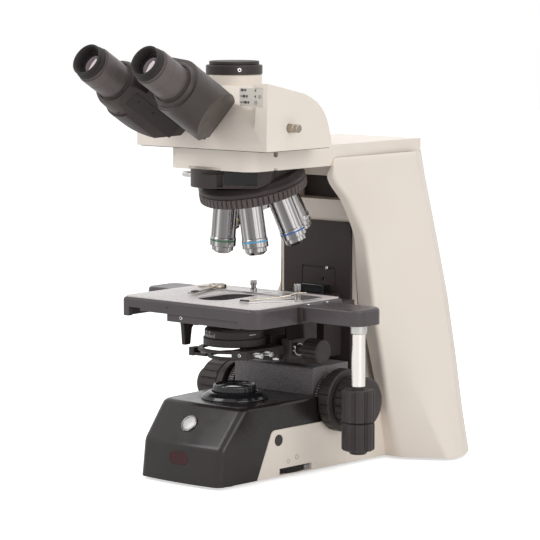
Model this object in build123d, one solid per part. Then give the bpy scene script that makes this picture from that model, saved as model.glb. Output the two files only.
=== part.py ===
from build123d import *
import os
from math import atan2, cos, degrees, pi, radians, sin, sqrt, tan

os.makedirs("parts", exist_ok=True)

# Trinocular microscope. Millimetres, +Z up, +X to the side of the stage knobs,
# -Y to the user. The drawing below is made about the foot of the optical axis;
# save() moves every piece so that the origin lies under the middle of the whole
# instrument, on the desk.

# Clearances
RUN = 0.1          # radial clearance of a shaft in its bearing
GAP = 0.3          # clearance between neighbouring pieces that move
SEAT = 0.05        # clearance of a piece pressed or screwed onto its seat
THROUGH = 400.0    # length of a cutting tool that passes right through

# Feet, base and its covers
FOOT_H = 3.0
FOOT_R = 11.0
BASE_FRONT_Y = -87.0
BASE_FRONT_HALF = 55.0
BASE_REAR_HALF = 69.5
BASE_REAR_Y = 165.0
BASE_CORNER = 6.0
CREASE_Y = -82.0
CREASE_Z = 41.0
DECK_FRONT_Y = -50.0
DECK_Z = 79.0
SHELL = 3.5
HOUSING_REAR_Y = 61.7
PANEL_FOOT_Y = -31.6
PANEL_TOP_Y = -9.6
PANEL_TOP_Z = 52.0
FLOOR_TOP_Z = 9.0
PAD_FRONT_Y = 180.0
PAD_HALF = 100.0

# Column, arm and their covers
COLUMN_HALF = 51.5
COLUMN_FRONT_Y = 137.0
COLUMN_REAR_Y = 236.0
COLUMN_WALL = 10.0
BROW_Y = 98.0
BROW_Z = 306.0
BROW_FOOT_Z = 254.5
RECESS_HALF = 38.0
RECESS_LOW_Z = 277.0
RECESS_HIGH_Z = 305.0
RECESS_DEPTH = 22.0
ARM_HALF = 57.7
ARM_FRONT_Y = -39.4
ARM_LOW_Z = 317.5
ARM_HIGH_Z = 339.0
ARM_CORNER = 15.0
REAR_Y = 243.0
SPLIT_Y = 222.0
COVER_WALL = 3.0
COVER_TOP_Z = 325.5
COVER_FRONT_Y = 86.5
REAR_TAPER = 10.0     # how far the rear cover draws in towards its back
REAR_HALVES = [(0.0, 134.0), (50.0, 124.0), (100.0, 116.0), (171.0, 103.0), (231.0, 88.5),
               (275.0, 77.5), (300.0, 71.0), (330.0, 65.0)]
FOOT_FLARE_HALF = 138.0
FOOT_FLARE_Y = 193.0

# Black front panel and slide rail
PANEL_HALF = 46.0
PANEL_T = 3.7
PANEL_LOW_Z = 96.0
PANEL_HIGH_Z = 254.0
RAIL_HALF = 18.0
RAIL_T = 12.0
RAIL_LOW_Z = 112.0
RAIL_HIGH_Z = 186.0

# Focus drive
FOCUS_Y = 88.0
FOCUS_Z = 73.0
FOCUS_HOUSING_HALF = 54.0
FOCUS_HOUSING_FRONT_Y = 62.0
FOCUS_HOUSING_REAR_Y = 120.0
FOCUS_HOUSING_LOW_Z = 56.0
FOCUS_HOUSING_HIGH_Z = 108.0
BOSS_R = 12.0
BOSS_END_X = 64.0
COARSE_SHAFT_R = 8.0
FINE_SHAFT_R = 4.0
TENSION_R = 28.0
TENSION_T = 9.0
COARSE_R = 33.0
COARSE_T = 14.0
COARSE_LEFT_R = 27.5
COARSE_LEFT_T = 34.0
FINE_R = 26.5
FINE_T = 25.0
FINE_LEFT_R = 17.0
FINE_LEFT_T = 11.5

# Illumination
COLLAR_R = 35.0
COLLAR_H = 7.0
DIAPHRAGM_R = 22.5
DIAPHRAGM_H = 14.5
LAMP_LENS_R = 17.0
LED_R = 13.0
LED_TOP_Z = 68.0
WHEEL_R = 28.0
WHEEL_T = 5.4
WHEEL_Y = 25.0
WHEEL_Z = 7.7
WHEEL_PROUD = 1.5
SLOT_L = 48.0
BUTTON_R = 5.8
BUTTON_Y = 0.0
BUTTON_Z = 40.8
BUTTON_L = 9.0
BUTTON_PROUD = 0.8
WINDOW_L = 26.0
WINDOW_H = 13.0
WINDOW_T = 2.5
WINDOW_Z = 27.3
BADGE_R = 9.3
BADGE_X = -1.0
BADGE_T = 1.6
BADGE_Z = 59.0
INLET_X = -22.0
INLET_W = 28.0
INLET_H = 20.0
INLET_Z = 32.0
INLET_D = 18.0
SWITCH_X = 20.0
SWITCH_W = 13.0
SWITCH_H = 19.0
ROCKER_PIN_R = 1.5
ROCKER_PIVOT_IN = 6.0
ROCKER_ROOM = 1.8

# Nosepiece and objectives
APEX_Z = 404.0         # where all objective axes meet, on the optical axis
TURRET_TILT = 15.0
TURRET_TOP = 98.0      # distances along the turret axis, from the apex
TURRET_RIM = 103.0
GRIP_TOP = 108.0
GRIP_END = 117.5
TURRET_R = 56.0
TURRET_TOP_R = 51.0
GRIP_R = 56.5
GRIP_WALL = 5.0
STUD_R = 12.0
MOUNT_R = 45.0
OBJECTIVE_SEAT = 117.5
PARFOCAL = 60.0
OBJECTIVE_DROP = 1.5   # the seats stand a little below the turret's top plate
THREAD_R = 10.2
THREAD_L = 5.0
BARREL_R = 12.4
BAND_R = 13.5
NOSE_R = 10.6
SLIDER_HALF = 9.0
SLIDER_T = 4.0
SLIDER_LOW_Z = 306.5
SLIDER_LEFT_X = -48.0
SLIDER_RIGHT_X = 20.0
SLIDER_ROD_R = 3.0
SLIDER_ROD_END_X = -66.0
SLIDER_ROD_Y = -5.0
MOUNT_LOW_Z = 299.0
MOUNT_REAR_Y = 52.0
FACET_TURN = 41.3     # the flat on the front right of the mount, turned from the front
FACET_DEPTH = 38.5

# Stage
STAGE_TOP_Z = 184.0
STAGE_HALF = 92.0
STAGE_FRONT_Y = -72.5
STAGE_REAR_Y = 64.0
STAGE_DECK = 6.5
APRON_Z = 164.5
APRON_WALL = 6.0
STAGE_CORNER = 13.0
STAGE_LEFT_CORNER = 5.0
LEG_L = 13.0
SKIRT_Z = 171.0
BEAM_FRONT_Y = -5.0
BEAM_REAR_Y = 54.0
BEAM_LOW_Z = 167.3
BEAM_LEFT_X = -134.0
BEAM_LEFT_FRONT_Y = 6.0
WING_X = 168.0
WING_REAR_Y = 36.0
WING_CORNER = 12.0
SURFACE_T = 1.6
SURFACE_INSET = 3.0
APERTURE_R = 21.0
APERTURE_L = 74.0
APERTURE_Y = -12.0
LOWER_HALF = 76.0
LOWER_FRONT_Y = -34.0
LOWER_T = 9.0
PILLAR_X = 150.0
PILLAR_Y = 17.0
PILLAR_R = 7.0
PILLAR_COLLAR_R = 8.6
KNOB_R = 16.7
X_KNOB_TOP_Z = 101.0
KNOB_SPLIT_Z = 68.0
Y_KNOB_LOW_Z = 39.5
KNOB_TIP_Z = 35.5
KNOB_TIP_R = 9.0
X_SHAFT_R = 4.0
HOLDER_T = 1.4
HOLDER_BAR_Y = 30.0
HOLDER_BAR_W = 16.0
HOLDER_LEFT_X = -72.0
HOLDER_RIGHT_X = 88.0
POST_R = 3.4
POST_A_X = 0.0
POST_A_H = 11.5
POST_B_X = 78.6
POST_B_Y = 7.0
POST_B_H = 16.0
CLIP_PIVOT_X = -50.0
CLIP_PIVOT_R = 9.5
CLIP_SHAFT_R = 3.0
CLIP_T = 1.2

# Stage carrier and condenser
CARRIER_HALF = 34.0
CARRIER_FRONT_Y = 104.0
CARRIER_LOW_Z = 112.0
GUIDE_RIGHT_X = 50.0
GUIDE_LEFT_X = -26.0
GUIDE_FRONT_Y = 52.0
GUIDE_REAR_Y = 74.0
GUIDE_LOW_Z = 113.0
HOLDER_RING_R = 38.0
HOLDER_RING_LOW_Z = 125.0
HOLDER_RING_T = 9.0
CONDENSER_R = 31.0
CONDENSER_TOP_Z = 152.0
CONDENSER_RIM_Z = 143.5
IRIS_R = 32.5
IRIS_LOW_Z = 135.0
BARREL_LOW_Z = 125.5
CONDENSER_BARREL_R = 26.0
TOP_LENS_R = 13.5
TOP_LENS_H = 8.0
LEVER_X = -56.0
LEVER_SHAFT_Y = -8.0
LEVER_SHAFT_R = 3.0
LEVER_L = 22.0
FILTER_R = 24.0
FILTER_T = 4.0
FILTER_PIN_X = 34.0
FILTER_PIN_Y = 26.0
CENTRING_R = 3.2
CENTRING_L = 12.0
CONDENSER_KNOB_R = 13.0
CONDENSER_KNOB_X = 66.0
CONDENSER_KNOB_L = 20.0
CONDENSER_KNOB_Y = 40.0
CONDENSER_KNOB_Z = 130.0

# Trinocular head
HEAD_HALF = 88.0
HEAD_LOW_Z = 340.0
HEAD_FRONT_Y = -52.0
HEAD_TOP_Z = 407.5
HEAD_LEAN = 2.0
HEAD_SHOULDER_Y = 18.0
HEAD_SHOULDER_Z = 391.0
HEAD_BACK_Y = 54.5
HEAD_HIP_Y = 43.0
HEAD_HIP_Z = 372.0
HEAD_EDGE = 5.0
DOVETAIL_R = 24.0
DOVETAIL_H = 7.0
PORT_TUBE_R = 28.4
PORT_LOW_Z = 413.6
PORT_RING_R = 29.0
PORT_RING_H = 9.6
PORT_BORE_R = 22.0
CAP_R = 25.6
CAP_T = 4.0
SPLITTER_Y = -16.8
SPLITTER_Z = 362.4
SPLITTER_R = 4.2
SPLITTER_PROUD = 13.0
SPLITTER_DEPTH = 60.0

# Eyepiece tubes; distances run down the tube from the eyecup rim
EYE_TILT = 30.0
EYE_Y = -175.5
EYE_Z = 432.5
EYE_HALF = 39.0
PIVOT_RISE = 16.0
CLOSED_HALF = 23.5
TUBE_TOP = 46.0
TUBE_RING_END = 72.0
TUBE_END = 140.0
TUBE_TOP_R = 24.5
TUBE_RING_R = 26.5
TUBE_END_R = 28.5
HUB_R = 17.0
HUB_RIGHT = (50.0, 68.0)
HUB_LEFT = (68.6, 100.0)
HUB_BOSS = 100.6
PIVOT_R = 6.0
PIVOT_CAP_R = 10.0
INNER_FLAT = 22.5
BEVEL_CHORD = 13.8
BEVEL_ANGLE = 34.0
EYE_SLEEVE_R = 15.2
EYE_SLEEVE_END = 82.0
EYE_BODY_R = 19.2
EYE_GROOVE_R = 17.2
EYECUP_R = 16.7
EYECUP_L = 8.5
EYE_LENS_R = 12.0

parts = {}


def box(x0, x1, y0, y1, z0, z1):
    size = (x1 - x0, y1 - y0, z1 - z0)
    return Pos((x0 + x1) / 2, (y0 + y1) / 2, (z0 + z1) / 2) * Box(*size)


def rod_z(x, y, r, z0, z1):
    return Pos(x, y, (z0 + z1) / 2) * Cylinder(r, z1 - z0)


def rod_x(y, z, r, x0, x1):
    return Pos((x0 + x1) / 2, y, z) * Rot(0, 90, 0) * Cylinder(r, x1 - x0)


def cone_z(x, y, r0, r1, z0, z1):
    return Pos(x, y, (z0 + z1) / 2) * Cone(r0, r1, z1 - z0)


def plan(points, z0, z1):
    return extrude(Pos(0, 0, z0) * Polygon(*points, align=None), z1 - z0, dir=(0, 0, 1))


def side_profile(points, half):
    """A solid with the given (y, z) outline, from -half to +half in x."""
    face = Plane.YZ * Polygon(*points, align=None)
    return extrude(face, half, both=True)


def vertical_edges(solid):
    return solid.edges().filter_by(Axis.Z)


# Base

def base_half(y):
    """Half the width of the base at a distance y; it widens to the rear."""
    grow = (BASE_REAR_HALF - BASE_FRONT_HALF) / (BASE_REAR_Y - BASE_FRONT_Y)
    return BASE_FRONT_HALF + (y - BASE_FRONT_Y) * grow


def base_block(inset, low_z, rear_y):
    """The body of the base, drawn in by inset all round."""
    front = BASE_FRONT_Y + inset
    corner = front + BASE_CORNER
    half_front = base_half(corner) - inset
    half_rear = base_half(rear_y) - inset
    bevel = half_front - BASE_CORNER
    outline = [(-half_front, corner), (-bevel, front), (bevel, front), (half_front, corner)]
    outline += [(half_rear, rear_y), (-half_rear, rear_y)]
    slope = [(front, low_z), (CREASE_Y + inset, CREASE_Z), (DECK_FRONT_Y + inset, DECK_Z - inset)]
    slope += [(rear_y, DECK_Z - inset), (rear_y, low_z)]
    return plan(outline, low_z, DECK_Z) & side_profile(slope, THROUGH)


def panel_prism(grow):
    """Side view of the light side panel, enlarged by grow, right through the base."""
    points = [(PANEL_FOOT_Y - grow, FOOT_H - 1), (PANEL_TOP_Y - grow, PANEL_TOP_Z + grow)]
    points += [(BASE_REAR_Y, PANEL_TOP_Z + grow), (BASE_REAR_Y, FOOT_H - 1)]
    return side_profile(points, THROUGH)


def drive_pocket():
    """Round pockets in both sides of the base for the rings of the focus drive."""
    left = rod_x(FOCUS_Y, FOCUS_Z, TENSION_R + 1.3, -THROUGH / 2, -BOSS_START)
    right = rod_x(FOCUS_Y, FOCUS_Z, TENSION_R + 1.3, BOSS_START, THROUGH / 2)
    right += rod_x(FOCUS_Y, FOCUS_Z, COARSE_R + 1.3, COARSE_X - 0.6, THROUGH / 2)
    return left + right


BOSS_START = FOCUS_HOUSING_HALF + 1.0
COARSE_X = BOSS_END_X + 2.0
COARSE_LEFT_X = BOSS_END_X + 8.0
FINE_X = COARSE_X + COARSE_T + 0.6
FINE_LEFT_X = COARSE_LEFT_X + COARSE_LEFT_T + 0.6
WHEEL_X = base_half(WHEEL_Y) + WHEEL_PROUD - WHEEL_R
WHEEL_PIN_R = 3.0
SLOT_H = WHEEL_T + 1.2


def base_housing():
    shell = base_block(0, FOOT_H, HOUSING_REAR_Y)
    shell -= base_block(SHELL, FOOT_H - 2, HOUSING_REAR_Y + 20)
    sides = panel_prism(GAP) & (box(-THROUGH, -BASE_FRONT_HALF + 8, -THROUGH, THROUGH, 0, 100)
                                + box(BASE_FRONT_HALF - 8, THROUGH, -THROUGH, THROUGH, 0, 100))
    shell -= sides
    shell -= drive_pocket()
    shell -= rod_z(0, 0, DIAPHRAGM_R, DECK_Z - 10, DECK_Z + 10)
    shell -= window_place() * window_outline(WINDOW_T + GAP, SEAT)
    shell += badge_place() * Pos(BADGE_X, 0) * Cylinder(BADGE_R, 2 * BADGE_T)
    return shell


def face_place(y0, z0, y1, z1, z):
    """A place on the sloping front between two profile points, facing outward."""
    share = (z - z0) / (z1 - z0)
    return Plane(origin=(0, y0 + (y1 - y0) * share, z), x_dir=(1, 0, 0),
                 z_dir=(0, z0 - z1, y1 - y0)).location


def window_place():
    return face_place(BASE_FRONT_Y, FOOT_H, CREASE_Y, CREASE_Z, WINDOW_Z)


def badge_place():
    return face_place(CREASE_Y, CREASE_Z, DECK_FRONT_Y, DECK_Z, BADGE_Z)


def window_outline(depth, grow):
    outline = SlotOverall(WINDOW_L + 2 * grow, WINDOW_H + 2 * grow)
    return Pos(0, 0, -depth) * extrude(outline, depth + grow)


def sensor_window():
    return window_place() * window_outline(WINDOW_T, 0)


def base_casting():
    inset = SHELL + GAP
    plate = base_block(inset, FOOT_H, BASE_REAR_Y) & box(-200, 200, -200, 300, FOOT_H, FLOOR_TOP_Z)
    plate += box(-PAD_HALF, PAD_HALF, PAD_FRONT_Y, COLUMN_REAR_Y, FOOT_H, FLOOR_TOP_Z)
    plate += box(-COLUMN_HALF, COLUMN_HALF, BASE_REAR_Y - 40, PAD_FRONT_Y + 5, FOOT_H, FLOOR_TOP_Z)
    ribs = box(-30, -24, -40, FOCUS_HOUSING_REAR_Y, FLOOR_TOP_Z, FOCUS_HOUSING_LOW_Z)
    ribs += box(24, 30, 60, FOCUS_HOUSING_REAR_Y, FLOOR_TOP_Z, FOCUS_HOUSING_LOW_Z)
    wheel_room = rod_z(WHEEL_X, WHEEL_Y, WHEEL_R + 1, WHEEL_Z - SLOT_H / 2, FLOOR_TOP_Z + 5)
    pin = rod_z(WHEEL_X, WHEEL_Y, WHEEL_PIN_R, FOOT_H, WHEEL_Z + WHEEL_T)
    return (plate + ribs + button_seat() - wheel_room) + pin


def foot_places():
    front = [(side * 36.0, -58.0) for side in (-1, 1)]
    rear = [(side * (PAD_HALF - FOOT_R - 2), COLUMN_REAR_Y - FOOT_R - 14) for side in (-1, 1)]
    return front + rear


def rubber_feet():
    return [rod_z(x, y, FOOT_R, 0, FOOT_H) for x, y in foot_places()]


# Column, arm and covers

def column():
    points = [(COLUMN_FRONT_Y, FLOOR_TOP_Z), (COLUMN_FRONT_Y, BROW_FOOT_Z)]
    steps = 6
    for k in range(1, steps + 1):
        turn = radians(90 * k / steps)
        y = BROW_Y + (COLUMN_FRONT_Y - BROW_Y) * cos(turn)
        z = BROW_FOOT_Z + (BROW_Z - BROW_FOOT_Z) * sin(turn)
        points.append((y, z))
    points += [(BROW_Y, ARM_LOW_Z), (COLUMN_REAR_Y, ARM_LOW_Z), (COLUMN_REAR_Y, FLOOR_TOP_Z)]
    solid = side_profile(points, COLUMN_HALF)
    inner = COLUMN_HALF - COLUMN_WALL
    front = COLUMN_FRONT_Y + COLUMN_WALL
    solid -= box(-inner, inner, front, REAR_Y, FLOOR_TOP_Z + COLUMN_WALL, RECESS_LOW_Z - COLUMN_WALL)
    solid -= box(-RECESS_HALF, RECESS_HALF, BROW_Y - 10, COLUMN_FRONT_Y + RECESS_DEPTH,
                 RECESS_LOW_Z, RECESS_HIGH_Z)
    return solid + switch_bracket()


def column_panel():
    back = COLUMN_FRONT_Y
    panel = box(-PANEL_HALF, PANEL_HALF, back - PANEL_T, back, PANEL_LOW_Z, PANEL_HIGH_Z)
    front = back - PANEL_T - RAIL_T
    return panel + box(-RAIL_HALF, RAIL_HALF, front, back - PANEL_T, RAIL_LOW_Z, RAIL_HIGH_Z)


def turret_room():
    """Space swept by the turning nosepiece, as a tool for the arm and its mount."""
    return turret_rod(GRIP_R + 1.5, TURRET_TOP - GAP, GRIP_END + 30)


def arm():
    solid = box(-ARM_HALF, ARM_HALF, ARM_FRONT_Y, REAR_Y - COVER_WALL - GAP, ARM_LOW_Z, ARM_HIGH_Z)
    corners = vertical_edges(solid).group_by(Axis.Y)[0]
    solid = fillet(corners, ARM_CORNER)
    solid -= turret_room()
    solid -= rod_z(0, 0, PORT_BORE_R - 4, ARM_LOW_Z - 1, ARM_HIGH_Z + 1)
    solid -= rod_z(0, 0, DOVETAIL_R + RUN, ARM_HIGH_Z - DOVETAIL_H - RUN, ARM_HIGH_Z + 1)
    return solid


def rear_half(z):
    """Half the width of the covers where the side and rear covers meet."""
    for (z0, a), (z1, b) in zip(REAR_HALVES, REAR_HALVES[1:]):
        if z <= z1:
            return a + (b - a) * (z - z0) / (z1 - z0)
    return REAR_HALVES[-1][1]


def cover_section(z, root, corner, flare):
    """Plan of the side cover at height z: a front flange and a bent side wall."""
    wall = COVER_WALL
    back_x = rear_half(z)
    outer = [root, corner, flare, (back_x, SPLIT_Y)]
    inner = [(back_x - wall, SPLIT_Y), (flare[0] - wall, flare[1] + wall / 2),
             (corner[0] - wall, corner[1] + wall), (root[0], root[1] + wall)]
    return Pos(0, 0, z) * Polygon(*(outer + inner), align=None)


def column_cover():
    """The flared cover of one side of the column, on the +x side."""
    edge = COLUMN_HALF + GAP
    lip = ARM_HALF + GAP
    lip_out = lip + COVER_WALL + 0.5
    foot = base_half(BASE_REAR_Y) - 1.5
    rows = [
        (FOOT_H, (foot, 165.0), (foot + 20, 166.0), (FOOT_FLARE_HALF, 196.0)),
        (55.0, (foot - 1, 157.0), (foot + 16, 152.0), (118.0, 190.0)),
        (120.0, (60.0, 147.0), (81.0, 141.0), (98.0, 172.0)),
        (171.0, (54.0, COLUMN_FRONT_Y), (77.0, 134.5), (89.0, 166.0)),
        (231.0, (edge, 134.0), (67.0, 135.0), (77.0, 165.0)),
        (275.0, (edge, 113.0), (61.5, 116.5), (69.0, 160.0)),
        (308.0, (edge, COVER_FRONT_Y), (61.0, COVER_FRONT_Y + 1), (65.5, 150.0)),
        (ARM_LOW_Z - GAP, (lip, COVER_FRONT_Y), (lip_out, COVER_FRONT_Y), (65.0, 150.0)),
        (COVER_TOP_Z, (lip, COVER_FRONT_Y + 2), (lip_out, COVER_FRONT_Y + 2), (64.0, 150.0)),
    ]
    return loft([cover_section(*row) for row in rows], ruled=True)


def side_cover(side):
    wall = base_block(0, FOOT_H, BASE_REAR_Y) - base_block(SHELL, FOOT_H - 2, BASE_REAR_Y + 20)
    wall &= panel_prism(0)
    wall &= box(BASE_FRONT_HALF - 8 + GAP, THROUGH, -THROUGH, THROUGH, 0, 100)
    cover = wall + column_cover()
    cover -= drive_pocket()
    slot = SLOT_L / 2
    if side > 0:
        cover -= box(BASE_FRONT_HALF - 10, 80, WHEEL_Y - slot, WHEEL_Y + slot,
                     WHEEL_Z - SLOT_H / 2, WHEEL_Z + SLOT_H / 2)
        cover -= rod_x(BUTTON_Y, BUTTON_Z, BUTTON_R + RUN, 40, 80)
    else:
        cover = mirror(cover, about=Plane.YZ)
    return cover


def rear_shell(inset, front_y, rear_y):
    """A block with the outline of the covers, drawn in towards its back."""
    top = COVER_TOP_Z - inset
    heights = [FOOT_H] + [z for z, _ in REAR_HALVES[1:-1]] + [top]
    faces = []
    for y in (front_y, rear_y):
        draw = inset + REAR_TAPER * (y - SPLIT_Y) / (REAR_Y - SPLIT_Y)
        right = [(rear_half(z) - draw, z) for z in heights]
        left = [(-x, z) for x, z in reversed(right)]
        faces.append(Plane.XZ.offset(-y) * Polygon(*(right + left), align=None))
    return loft(faces, ruled=True)


def rear_cover():
    solid = rear_shell(0, SPLIT_Y + GAP, REAR_Y)
    solid -= rear_shell(COVER_WALL, SPLIT_Y - 5, REAR_Y - COVER_WALL)
    h = ARM_HALF + GAP
    solid -= box(-h, h, SPLIT_Y - 5, REAR_Y - COVER_WALL, ARM_LOW_Z - GAP, COVER_TOP_Z + 5)
    solid -= box(INLET_X - INLET_W / 2 - SEAT, INLET_X + INLET_W / 2 + SEAT, REAR_Y - 9, REAR_Y + 5,
                 INLET_Z - INLET_H / 2 - SEAT, INLET_Z + INLET_H / 2 + SEAT)
    solid -= box(SWITCH_X - SWITCH_W / 2 - GAP, SWITCH_X + SWITCH_W / 2 + GAP, REAR_Y - 9, REAR_Y + 5,
                 INLET_Z - SWITCH_H / 2 - ROCKER_ROOM, INLET_Z + SWITCH_H / 2 + ROCKER_ROOM)
    return solid


def power_inlet():
    body = box(INLET_X - INLET_W / 2, INLET_X + INLET_W / 2, REAR_Y - INLET_D, REAR_Y + 1,
               INLET_Z - INLET_H / 2, INLET_Z + INLET_H / 2)
    body -= box(INLET_X - 11, INLET_X + 11, REAR_Y - INLET_D + 4, REAR_Y + 3, INLET_Z - 7, INLET_Z + 7)
    for x, z in ((-7, -2), (7, -2), (0, 3)):
        body += box(INLET_X + x - 1, INLET_X + x + 1, REAR_Y - INLET_D + 3, REAR_Y - 3,
                    INLET_Z + z - 2, INLET_Z + z + 2)
    return body


def power_switch():
    half = SWITCH_H / 2
    turn = degrees(atan2(1.6, half))
    deep = REAR_Y - ROCKER_PIVOT_IN
    wide = SWITCH_W / 2
    rocker = box(SWITCH_X - wide, SWITCH_X + wide, deep - 2.5, REAR_Y + 1, INLET_Z - half, INLET_Z + half)
    tilt = Pos(0, deep, INLET_Z) * Rot(turn, 0, 0) * Pos(0, -deep, -INLET_Z)
    pin = rod_x(deep, INLET_Z, ROCKER_PIN_R, SWITCH_X - wide - 2, SWITCH_X + wide + 2)
    return (tilt * rocker) + pin


def switch_bracket():
    """Bearing of the rocker and seat of the inlet, part of the column foot."""
    low = FLOOR_TOP_Z + COLUMN_WALL - 1
    wide = SWITCH_W / 2 + GAP
    cheek = 2.0
    cheeks = box(SWITCH_X - wide - cheek, SWITCH_X - wide, REAR_Y - 14, REAR_Y - COVER_WALL - GAP,
                 low, INLET_Z + 6)
    cheeks += box(SWITCH_X + wide, SWITCH_X + wide + cheek, REAR_Y - 14, REAR_Y - COVER_WALL - GAP,
                  low, INLET_Z + 6)
    floor = box(INLET_X - INLET_W / 2, SWITCH_X + wide + cheek, REAR_Y - 20, REAR_Y - COVER_WALL - GAP,
                low, low + 2.5)
    inlet_rest = box(INLET_X - 8, INLET_X + 8, REAR_Y - 16, REAR_Y - 8, low, INLET_Z - INLET_H / 2)
    return cheeks + floor + inlet_rest - rod_x(REAR_Y - ROCKER_PIVOT_IN, INLET_Z, ROCKER_PIN_R + RUN, 0, THROUGH)


# Focus drive

def focus_housing():
    h = FOCUS_HOUSING_HALF
    solid = box(-h, h, FOCUS_HOUSING_FRONT_Y, FOCUS_HOUSING_REAR_Y, FOCUS_HOUSING_LOW_Z,
                FOCUS_HOUSING_HIGH_Z)
    solid += box(-h + 12, h - 12, FOCUS_HOUSING_REAR_Y - 1, COLUMN_FRONT_Y, FOCUS_HOUSING_LOW_Z,
                 PANEL_LOW_Z - GAP)
    solid += rod_x(FOCUS_Y, FOCUS_Z, BOSS_R, -BOSS_END_X, BOSS_END_X)
    return solid - rod_x(FOCUS_Y, FOCUS_Z, COARSE_SHAFT_R + RUN, -THROUGH, THROUGH)


def tension_ring():
    x = BOSS_START + 1
    ring = rod_x(FOCUS_Y, FOCUS_Z, TENSION_R, x, x + TENSION_T)
    return ring - rod_x(FOCUS_Y, FOCUS_Z, BOSS_R + RUN, 0, THROUGH)


def scale_ring():
    x = BOSS_START + 1
    ring = rod_x(FOCUS_Y, FOCUS_Z, TENSION_R, -x - TENSION_T, -x)
    return ring - rod_x(FOCUS_Y, FOCUS_Z, BOSS_R + SEAT, -THROUGH, 0)


def coarse_drive():
    end = COARSE_X + COARSE_T
    solid = rod_x(FOCUS_Y, FOCUS_Z, COARSE_SHAFT_R, -COARSE_LEFT_X, end)
    solid += rod_x(FOCUS_Y, FOCUS_Z, COARSE_LEFT_R, -COARSE_LEFT_X - COARSE_LEFT_T, -COARSE_LEFT_X)
    return solid - rod_x(FOCUS_Y, FOCUS_Z, FINE_SHAFT_R + RUN, -THROUGH, THROUGH)


def coarse_knob_right():
    knob = rod_x(FOCUS_Y, FOCUS_Z, COARSE_R, COARSE_X, COARSE_X + COARSE_T)
    return knob - rod_x(FOCUS_Y, FOCUS_Z, COARSE_SHAFT_R + SEAT, 0, THROUGH)


def fine_drive():
    solid = rod_x(FOCUS_Y, FOCUS_Z, FINE_SHAFT_R, -FINE_LEFT_X, FINE_X + FINE_T - 5)
    return solid + rod_x(FOCUS_Y, FOCUS_Z, FINE_LEFT_R, -FINE_LEFT_X - FINE_LEFT_T, -FINE_LEFT_X)


def fine_knob_right():
    knob = rod_x(FOCUS_Y, FOCUS_Z, FINE_R, FINE_X, FINE_X + FINE_T)
    return knob - rod_x(FOCUS_Y, FOCUS_Z, FINE_SHAFT_R + SEAT, 0, FINE_X + FINE_T - 5)


# Illumination

COLLAR_INNER_R = DIAPHRAGM_R + 1.2
TUBE_WALL = 2.0
SEAT_Z = DECK_Z + 7.0


def field_lens_collar():
    step = COLLAR_H / 2
    ring = cone_z(0, 0, COLLAR_R, COLLAR_R - 2, DECK_Z, DECK_Z + step)
    ring += cone_z(0, 0, COLLAR_R - 2, COLLAR_R - 7, DECK_Z + step, DECK_Z + COLLAR_H)
    ring -= rod_z(0, 0, COLLAR_INNER_R, DECK_Z - 1, DECK_Z + 20)
    flange = rod_z(0, 0, DIAPHRAGM_R - SEAT, DECK_Z - SHELL, DECK_Z)
    web = rod_z(0, 0, COLLAR_R - 4, DECK_Z, DECK_Z + 0.8)
    tube = rod_z(0, 0, LAMP_LENS_R + TUBE_WALL, DECK_Z - SHELL, SEAT_Z + 4)
    body = ring + flange + web + tube
    body -= rod_z(0, 0, LAMP_LENS_R - 1.5, 0, SEAT_Z)
    return body - rod_z(0, 0, LAMP_LENS_R + SEAT, SEAT_Z, SEAT_Z + 10)


def field_lens():
    disc = rod_z(0, 0, LAMP_LENS_R, SEAT_Z, SEAT_Z + 2.5)
    dome = Pos(0, 0, SEAT_Z + 2.5 - 50) * Sphere(sqrt(50 ** 2 + LAMP_LENS_R ** 2))
    return disc + (dome & rod_z(0, 0, LAMP_LENS_R, SEAT_Z, SEAT_Z + 10))


def field_diaphragm_ring():
    low = DECK_Z + 0.8 + GAP
    top = DECK_Z + DIAPHRAGM_H
    ring = rod_z(0, 0, DIAPHRAGM_R, low, top - 3) + cone_z(0, 0, DIAPHRAGM_R, DIAPHRAGM_R - 1.5, top - 3, top)
    ring -= rod_z(0, 0, LAMP_LENS_R + TUBE_WALL + RUN, low - 1, SEAT_Z + 4 + GAP)
    return ring - cone_z(0, 0, LAMP_LENS_R - 1, DIAPHRAGM_R - 2.5, SEAT_Z + 4, top + 0.01)


def led_module():
    body = rod_z(0, 0, LED_R, FLOOR_TOP_Z, LED_TOP_Z)
    for k in range(5):
        z = FLOOR_TOP_Z + 8 + 7 * k
        body -= rod_z(0, 0, LED_R + 1, z, z + 3) - rod_z(0, 0, LED_R - 5, z, z + 3)
    return body


def light_wheel():
    wheel = rod_z(WHEEL_X, WHEEL_Y, WHEEL_R, WHEEL_Z - WHEEL_T / 2, WHEEL_Z + WHEEL_T / 2)
    return wheel - rod_z(WHEEL_X, WHEEL_Y, WHEEL_PIN_R + RUN, 0, 30)


def eco_button():
    face = base_half(BUTTON_Y) + BUTTON_PROUD
    return rod_x(BUTTON_Y, BUTTON_Z, BUTTON_R, face - BUTTON_L, face)


def button_seat():
    """Switch body behind the button, part of the casting."""
    back = base_half(BUTTON_Y) + BUTTON_PROUD - BUTTON_L - 2.0
    return box(back - 6, back, BUTTON_Y - 9, BUTTON_Y + 9, FLOOR_TOP_Z - 1, BUTTON_Z + 9)


# Nosepiece

TURRET = Pos(0, 0, APEX_Z) * Rot(TURRET_TILT, 0, 0)


def turret_rod(r, near, far):
    """A round bar on the turret axis, between two distances from the apex."""
    return TURRET * Pos(0, 0, -(near + far) / 2) * Cylinder(r, far - near)


def revolve_down(points):
    """A turned piece; points are (radius, distance down from the apex)."""
    face = Plane.XZ * Polygon(*[(r, -d) for r, d in points], align=None)
    return revolve(face, Axis.Z)


def objective_place(angle):
    return TURRET * Rot(0, 0, angle) * Rot(-TURRET_TILT, 0, 0)


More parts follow.
